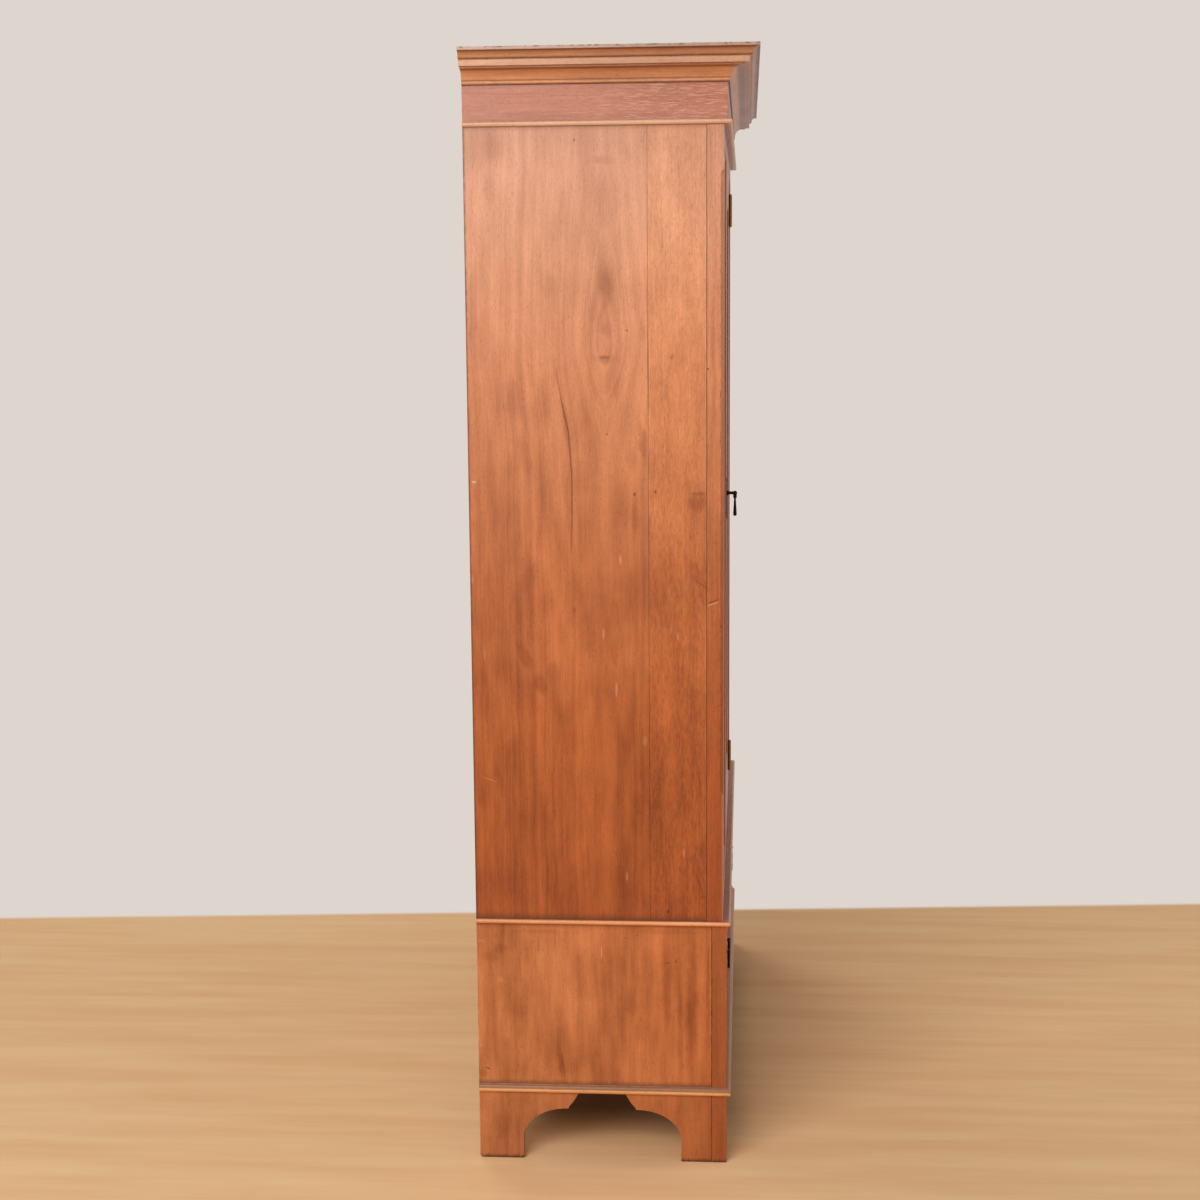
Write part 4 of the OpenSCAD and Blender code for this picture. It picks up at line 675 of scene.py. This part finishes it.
def mirror():
    """Silvered glass, with brown specks and clouds where the silver has gone near its edges."""
    t = Tree("mirror")
    low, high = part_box("mirror_plate")
    middle = (low + high) / 2
    half = (high - low) / 2
    out_x = t.math("SUBTRACT", half.x, t.math("ABSOLUTE", t.math("SUBTRACT", t.x, middle.x)))
    out_z = t.math("SUBTRACT", half.z, t.math("ABSOLUTE", t.math("SUBTRACT", t.z, middle.z)))
    edge = t.math("MINIMUM", out_x, out_z)
    ragged = t.math("MULTIPLY_ADD", t.noise(t.place, 30.0, 5.0, 0.65), 0.05, edge)
    gone = t.math("MULTIPLY", t.span(ragged, 0.036, 0.026), 0.6)
    specks = t.math("MULTIPLY", t.span(t.noise(t.place, 240.0, 3.0, 0.6), 0.71, 0.75), 0.7)
    worn = t.math("MAXIMUM", gone, specks)
    colour = t.mix(worn, SILVER, BARE_GLASS)
    rough = t.math("MULTIPLY_ADD", worn, 0.35, 0.03)
    return [t.finish(colour, rough, t.noise(t.place, 9.0, 1.0), 0.00004, {}, 1.0)]


bronze = metal("bronze", srgb(44, 37, 32), srgb(120, 92, 60), 0.28, 0.6)
brass = metal("brass", srgb(150, 116, 62), srgb(205, 170, 104), 0.32, 0.6)
steel = metal("steel", srgb(112, 108, 102), srgb(170, 166, 158), 0.36)
for names, pair in (
        ("pull_plate drop_handle bail_roses bail_left bail_right", bronze),
        ("hanging_rail rail_sockets strike_plate lock_bolt", brass),
        ("hinge_frame_leaves hinge_door_leaves hinge_pins", brass),
        ("lock_case", steel), ("mirror_plate", mirror())):
    for name in names.split():
        DRESS[name] = pair

# Bevel widths in metres, by how a node's name starts
BEVELS = {"cornice": 0.0005, "frieze_bead": 0.0004, "waist": 0.0004, "base_mould": 0.0004, "hinge": 0.0002,
          "bail": 0.0003, "pull": 0.0003, "drop": 0.0003, "lock": 0.0003, "strike": 0.0002,
          "mirror_plate": 0.0003, "panel_mould": 0.0004, "mirror_bead": 0.0004, "corner_stiles": 0.0012,
          "side_boards": 0.0001, "lower": 0.0009}
PLAIN_BEVEL = 0.0007
# The bolt's mortise needs the triangles round it: one large face would close its mouth
IN_TRIANGLES = ("jamb_stile_left",)


def soften(node):
    """Joins the flat triangles to whole faces and rounds the edges, which take the worn material."""
    weld = node.modifiers.new("weld", "WELD")
    weld.merge_threshold = 0.00001
    if node.name not in IN_TRIANGLES:
        flat = node.modifiers.new("flat", "DECIMATE")
        flat.decimate_type = "DISSOLVE"
        flat.angle_limit = math.radians(0.3)
    bevel = node.modifiers.new("bevel", "BEVEL")
    bevel.width = next((width for start, width in BEVELS.items() if node.name.startswith(start)), PLAIN_BEVEL)
    bevel.segments = 2
    bevel.limit_method = "ANGLE"
    bevel.angle_limit = math.radians(32)
    if len(node.data.materials) > 1:
        bevel.material = 1
    node.modifiers.new("normals", "WEIGHTED_NORMAL").mode = "FACE_AREA_WITH_ANGLE"


for name, node in NODES.items():
    node.data.materials.clear()
    for material in DRESS[name]:
        node.data.materials.append(material)
    soften(node)


# Small fasteners
def circle(radius, height, count=20):
    return [(radius * math.cos(a), radius * math.sin(a), height)
            for a in (2 * math.pi * i / count for i in range(count))]


def loft(bm, rings, place):
    """A closed solid through rings of equal length, set at a place."""
    rows = [[bm.verts.new(place @ Vector(point)) for point in ring] for ring in rings]
    for low, high in zip(rows, rows[1:]):
        for i in range(len(low)):
            j = (i + 1) % len(low)
            bm.faces.new((low[i], low[j], high[j], high[i]))
    bm.faces.new(rows[0][::-1])
    bm.faces.new(rows[-1])


def screw(radius):
    """A flush screw head with a slot, sunk into the surface under it."""
    half_slot, sunk, slot_floor, proud = 0.17 * radius, -0.0006, -0.00030, 0.00004
    start = math.asin(half_slot / radius)
    arc = [start + (math.pi - 2 * start) * i / 10 for i in range(11)]

    def build(bm, place):
        loft(bm, [circle(radius, sunk), circle(radius, slot_floor)], place)
        for side in (1, -1):
            loft(bm, [[(side * r * math.cos(a), side * r * math.sin(a), z) for a in arc]
                      for r, z in ((radius, slot_floor), (radius, 0.0), (0.9 * radius, proud))], place)
    return build


def pin(radius, proud):
    """A nail or pin with a low domed head."""
    def build(bm, place):
        steps = ((1.0, -0.0005), (1.0, 0.3 * proud), (0.86, 0.75 * proud), (0.5, proud))
        loft(bm, [circle(share * radius, z) for share, z in steps], place)
    return build


def nut(half, height):
    """A square nut with a bevelled top, and the end of its bolt."""
    def square(size, z):
        return [(size, size, z), (-size, size, z), (-size, -size, z), (size, -size, z)]

    def build(bm, place):
        loft(bm, [square(half, 0.0), square(half, 0.8 * height), square(0.88 * half, height)], place)
        bolt = ((0.42, 1.0), (0.42, 1.4), (0.3, 1.6))
        loft(bm, [circle(share * half, level * height) for share, level in bolt], place)
    return build


def facing(place, outward, turn=0.0):
    """A place on a surface whose +Z leads out of it."""
    aim = Vector(outward).to_track_quat("Z", "Y").to_matrix().to_4x4()
    return Matrix.Translation(place) @ aim @ Matrix.Rotation(turn, 4, "Z")


def add_fasteners(name, build, places, outward, body, material, turned=False):
    """Copies of one small fastener as a piece that rides on a body."""
    bm = bmesh.new()
    for place in places:
        build(bm, facing(place, outward, chance.uniform(0, math.pi) if turned else 0.0))
    bmesh.ops.recalc_face_normals(bm, faces=bm.faces)
    mesh = bpy.data.meshes.new(name)
    bm.to_mesh(mesh)
    bm.free()
    mesh.materials.append(material)
    piece = bpy.data.objects.new(name, mesh)
    bpy.context.scene.collection.objects.link(piece)
    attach(piece, body)


def spread(first, last, count):
    return [first + (last - first) * i / (count - 1) for i in range(count)]


chance = random.Random(7)
HINGE_Z = (0.5725, 1.7615)
# Each leaf's screw holes: how far above its middle, and where from front to back
LEAF_HOLES = ((-0.022, -0.184), (0.0, -0.188), (0.022, -0.184))
FRAME_LEAF_X, DOOR_LEAF_X = 0.2149, 0.2146
KEYHOLE_Z = 1.164
STRIKE_X, STRIKE_Y, STRIKE_STEP = -0.2155, -0.177, 0.0155
LOCK_XS, LOCK_STEP = (-0.2080, -0.1675), 0.0205
PULL_X, PULL_FACE_Y, RIVET_Z = -0.176, -0.197, 1.1955
PIN_ZS = (1.1495, 1.2195)
RAIL_Y, RAIL_Z = 0.04025, 1.765
SOCKET_X, SOCKET_RING = 0.612, 0.0198
INNER_X = 0.615
BACK_COUNT, NAIL_SHARE = 7, 0.36
BACK_NAIL_ZS = (0.4622, 1.8660)
BASE_NAIL_XS, BASE_NAIL_ZS = spread(-0.6, 0.6, 9), (0.1400, 0.4500)
BOTTOM_NAIL_XS, BOTTOM_NAIL_Y, BOTTOM_NAIL_Z = spread(-0.5, 0.5, 7), 0.1985, 0.1740
DOOR_BACK_Y = -0.171
GLASS_SCREW_X, GLASS_SCREW_ZS = 0.1430, spread(0.64, 1.714, 5)
POST_XS, NUT_Y, NUT_Z = (-0.374, -0.298, 0.298, 0.374), -0.1735, 0.316

hinge_holes = [(z + step, y) for z in HINGE_Z for step, y in LEAF_HOLES]
add_fasteners("hinge_frame_screws", screw(0.0032), [(FRAME_LEAF_X, y, z) for z, y in hinge_holes], (-1, 0, 0),
              "carcass", brass[0], True)
add_fasteners("hinge_door_screws", screw(0.0032), [(DOOR_LEAF_X, y, z) for z, y in hinge_holes], (1, 0, 0),
              "door", brass[0], True)
add_fasteners("strike_screws", screw(0.0021),
              [(STRIKE_X, STRIKE_Y, KEYHOLE_Z + step) for step in (-STRIKE_STEP, STRIKE_STEP)],
              (1, 0, 0), "carcass", brass[0], True)
add_fasteners("lock_screws", screw(0.0024),
              [(x, DOOR_BACK_Y, KEYHOLE_Z + step) for x in LOCK_XS for step in (-LOCK_STEP, LOCK_STEP)],
              (0, 1, 0), "door", steel[0], True)
add_fasteners("pull_plate_pins", pin(0.0019, 0.0009), [(PULL_X, PULL_FACE_Y, z) for z in PIN_ZS],
              (0, -1, 0), "door", bronze[1])
add_fasteners("pull_rivet", pin(0.0042, 0.0011), [(PULL_X, DOOR_BACK_Y, RIVET_Z)], (0, 1, 0),
              "door", bronze[0])
for name, hand in (("left", -1), ("right", 1)):
    ring = [(hand * SOCKET_X, RAIL_Y + SOCKET_RING * math.cos(a), RAIL_Z + SOCKET_RING * math.sin(a))
            for a in (math.pi / 2, math.pi * 7 / 6, math.pi * 11 / 6)]
    add_fasteners("socket_screws_" + name, screw(0.0027), ring, (-hand, 0, 0),
                  "carcass", brass[0], True)
pitch = 2 * INNER_X / BACK_COUNT
back_xs = [-INNER_X + (i + 0.5 + side * NAIL_SHARE) * pitch for i in range(BACK_COUNT) for side in (-1, 1)]
add_fasteners("back_board_nails", pin(0.0026, 0.0005),
              [(x, BACK_Y, z) for x in back_xs for z in BACK_NAIL_ZS],
              (0, 1, 0), "carcass", steel[0])
add_fasteners("base_back_nails", pin(0.0026, 0.0005),
              [(x, BACK_Y, z) for x in BASE_NAIL_XS for z in BASE_NAIL_ZS],
              (0, 1, 0), "carcass", steel[0])
add_fasteners("drawer_bottom_nails", pin(0.0024, 0.0005),
              [(x, BOTTOM_NAIL_Y, BOTTOM_NAIL_Z) for x in BOTTOM_NAIL_XS],
              (0, 0, -1), "drawer", steel[0])
add_fasteners("mirror_back_screws", screw(0.0025),
              [(side * GLASS_SCREW_X, DOOR_BACK_Y, z) for side in (-1, 1) for z in GLASS_SCREW_ZS],
              (0, 1, 0), "door", brass[0], True)
add_fasteners("bail_nuts", nut(0.0050, 0.0026), [(x, NUT_Y, NUT_Z) for x in POST_XS],
              (0, 1, 0), "drawer", steel[0])


# Camera and light
def make_camera():
    right, up, forward = camera_axes()
    data = bpy.data.cameras.new("camera")
    data.sensor_width = SENSOR_MM
    data.lens = FOCAL_PX / PHOTO_PX * SENSOR_MM
    data.clip_start = CLIP_START
    camera = bpy.data.objects.new("camera", data)
    turn = Matrix((right, up, -forward)).transposed().to_4x4()
    camera.matrix_world = Matrix.Translation(CAMERA_PLACE) @ turn
    bpy.context.scene.collection.objects.link(camera)
    bpy.context.scene.camera = camera


def make_lamp(name, place, target, size, power, shines=True):
    data = bpy.data.lights.new(name, "AREA")
    data.shape = "RECTANGLE"
    data.size, data.size_y = size
    data.energy = power
    lamp = bpy.data.objects.new(name, data)
    lamp.visible_glossy = shines
    lamp.visible_camera = False
    lamp.location = place
    lamp.rotation_euler = (Vector(target) - Vector(place)).to_track_quat("-Z", "Y").to_euler()
    bpy.context.scene.collection.objects.link(lamp)


FLOOR_HALF = 7.0
WALL_COLOUR = srgb(222, 213, 206)
FLOOR_COLOUR = srgb(242, 194, 144)
FLOOR_PALE = srgb(249, 208, 158)
FLOOR_SHADE = srgb(60, 38, 24)
# Where the floor turns into the wall, how softly, and how the line leans from front to back
WALL_X, WALL_BLUR, WALL_LEAN = 0.87, 0.03, 0.087
FILL_STRENGTH = 0.36
FILL_COLOUR = (1.0, 0.985, 0.965, 1.0)


def make_world():
    """Even light all round. The camera and reflections see the pale wall instead."""
    world = bpy.data.worlds.new("studio")
    world.use_nodes = True
    bpy.context.scene.world = world
    tree = world.node_tree
    tree.nodes.clear()
    path = tree.nodes.new("ShaderNodeLightPath")
    seen = path.outputs["Is Camera Ray"]
    for ray in ("Is Glossy Ray", "Is Transmission Ray"):
        either = tree.nodes.new("ShaderNodeMath")
        either.operation = "MAXIMUM"
        tree.links.new(seen, either.inputs[0])
        tree.links.new(path.outputs[ray], either.inputs[1])
        seen = either.outputs[0]
    both = tree.nodes.new("ShaderNodeMixShader")
    tree.links.new(seen, both.inputs[0])
    for index, (colour, strength) in enumerate(((FILL_COLOUR, FILL_STRENGTH), (WALL_COLOUR, 1.0)), 1):
        light = tree.nodes.new("ShaderNodeBackground")
        light.inputs[0].default_value = colour
        light.inputs[1].default_value = strength
        tree.links.new(light.outputs[0], both.inputs[index])
    output = tree.nodes.new("ShaderNodeOutputWorld")
    tree.links.new(both.outputs[0], output.inputs[0])


def make_floor():
    """A pale floor with a painted shadow under the wardrobe that, for the camera and for reflections, turns
    into the wall beyond the wardrobe.
    """
    corners = [(x * FLOOR_HALF, y * FLOOR_HALF, 0) for x, y in ((-1, -1), (1, -1), (1, 1), (-1, 1))]
    mesh = bpy.data.meshes.new("floor")
    mesh.from_pydata(corners, [], [(0, 1, 2, 3)])
    floor = bpy.data.objects.new("floor", mesh)
    bpy.context.scene.collection.objects.link(floor)
    t = Tree("floor_pale")
    grain = t.noise(t.vector("MULTIPLY", t.place, (1.0, 0.10, 1.0)), 14.0, 4.0, 0.6)
    colour = t.mix(t.span(grain, 0.3, 0.7), FLOOR_COLOUR, FLOOR_PALE)
    # Painted shadow: the floor darkens under the wardrobe.
    under_x = t.span(t.math("ABSOLUTE", t.x), 0.60, 0.38)
    under = t.math("MULTIPLY", under_x, t.span(t.math("ABSOLUTE", t.y), 0.27, 0.12))
    colour = t.mix(t.math("MULTIPLY", under, 0.8), colour, FLOOR_SHADE)
    far = t.span(t.math("MULTIPLY_ADD", t.y, WALL_LEAN, t.x), WALL_X, WALL_X + WALL_BLUR)
    ground = t.call("ShaderNodeBsdfDiffuse", (colour,))
    path = t.add("ShaderNodeLightPath")
    seen = t.math("MAXIMUM", path.outputs["Is Camera Ray"], path.outputs["Is Glossy Ray"])
    wall = t.call("ShaderNodeEmission", (WALL_COLOUR, seen))
    both = t.add("ShaderNodeMixShader")
    for socket, value in zip(both.inputs, (far, ground, wall)):
        t.feed(socket, value)
    output = t.add("ShaderNodeOutputMaterial")
    t.feed(output.inputs[0], both.outputs[0])
    mesh.materials.append(t.material)


make_camera()
make_world()
make_floor()
make_lamp("window", (-4.6, 1.6, 3.1), (-0.5, 0.05, 1.1), (3.0, 2.4), 152.0)
make_lamp("front_fill", (0.8, -5.0, 2.6), (0.0, -0.2, 1.0), (3.0, 2.4), 30.0, False)
make_lamp("far_fill", (5.2, 3.0, 3.2), (0.4, 0.1, 1.1), (3.0, 2.4), 90.0, False)
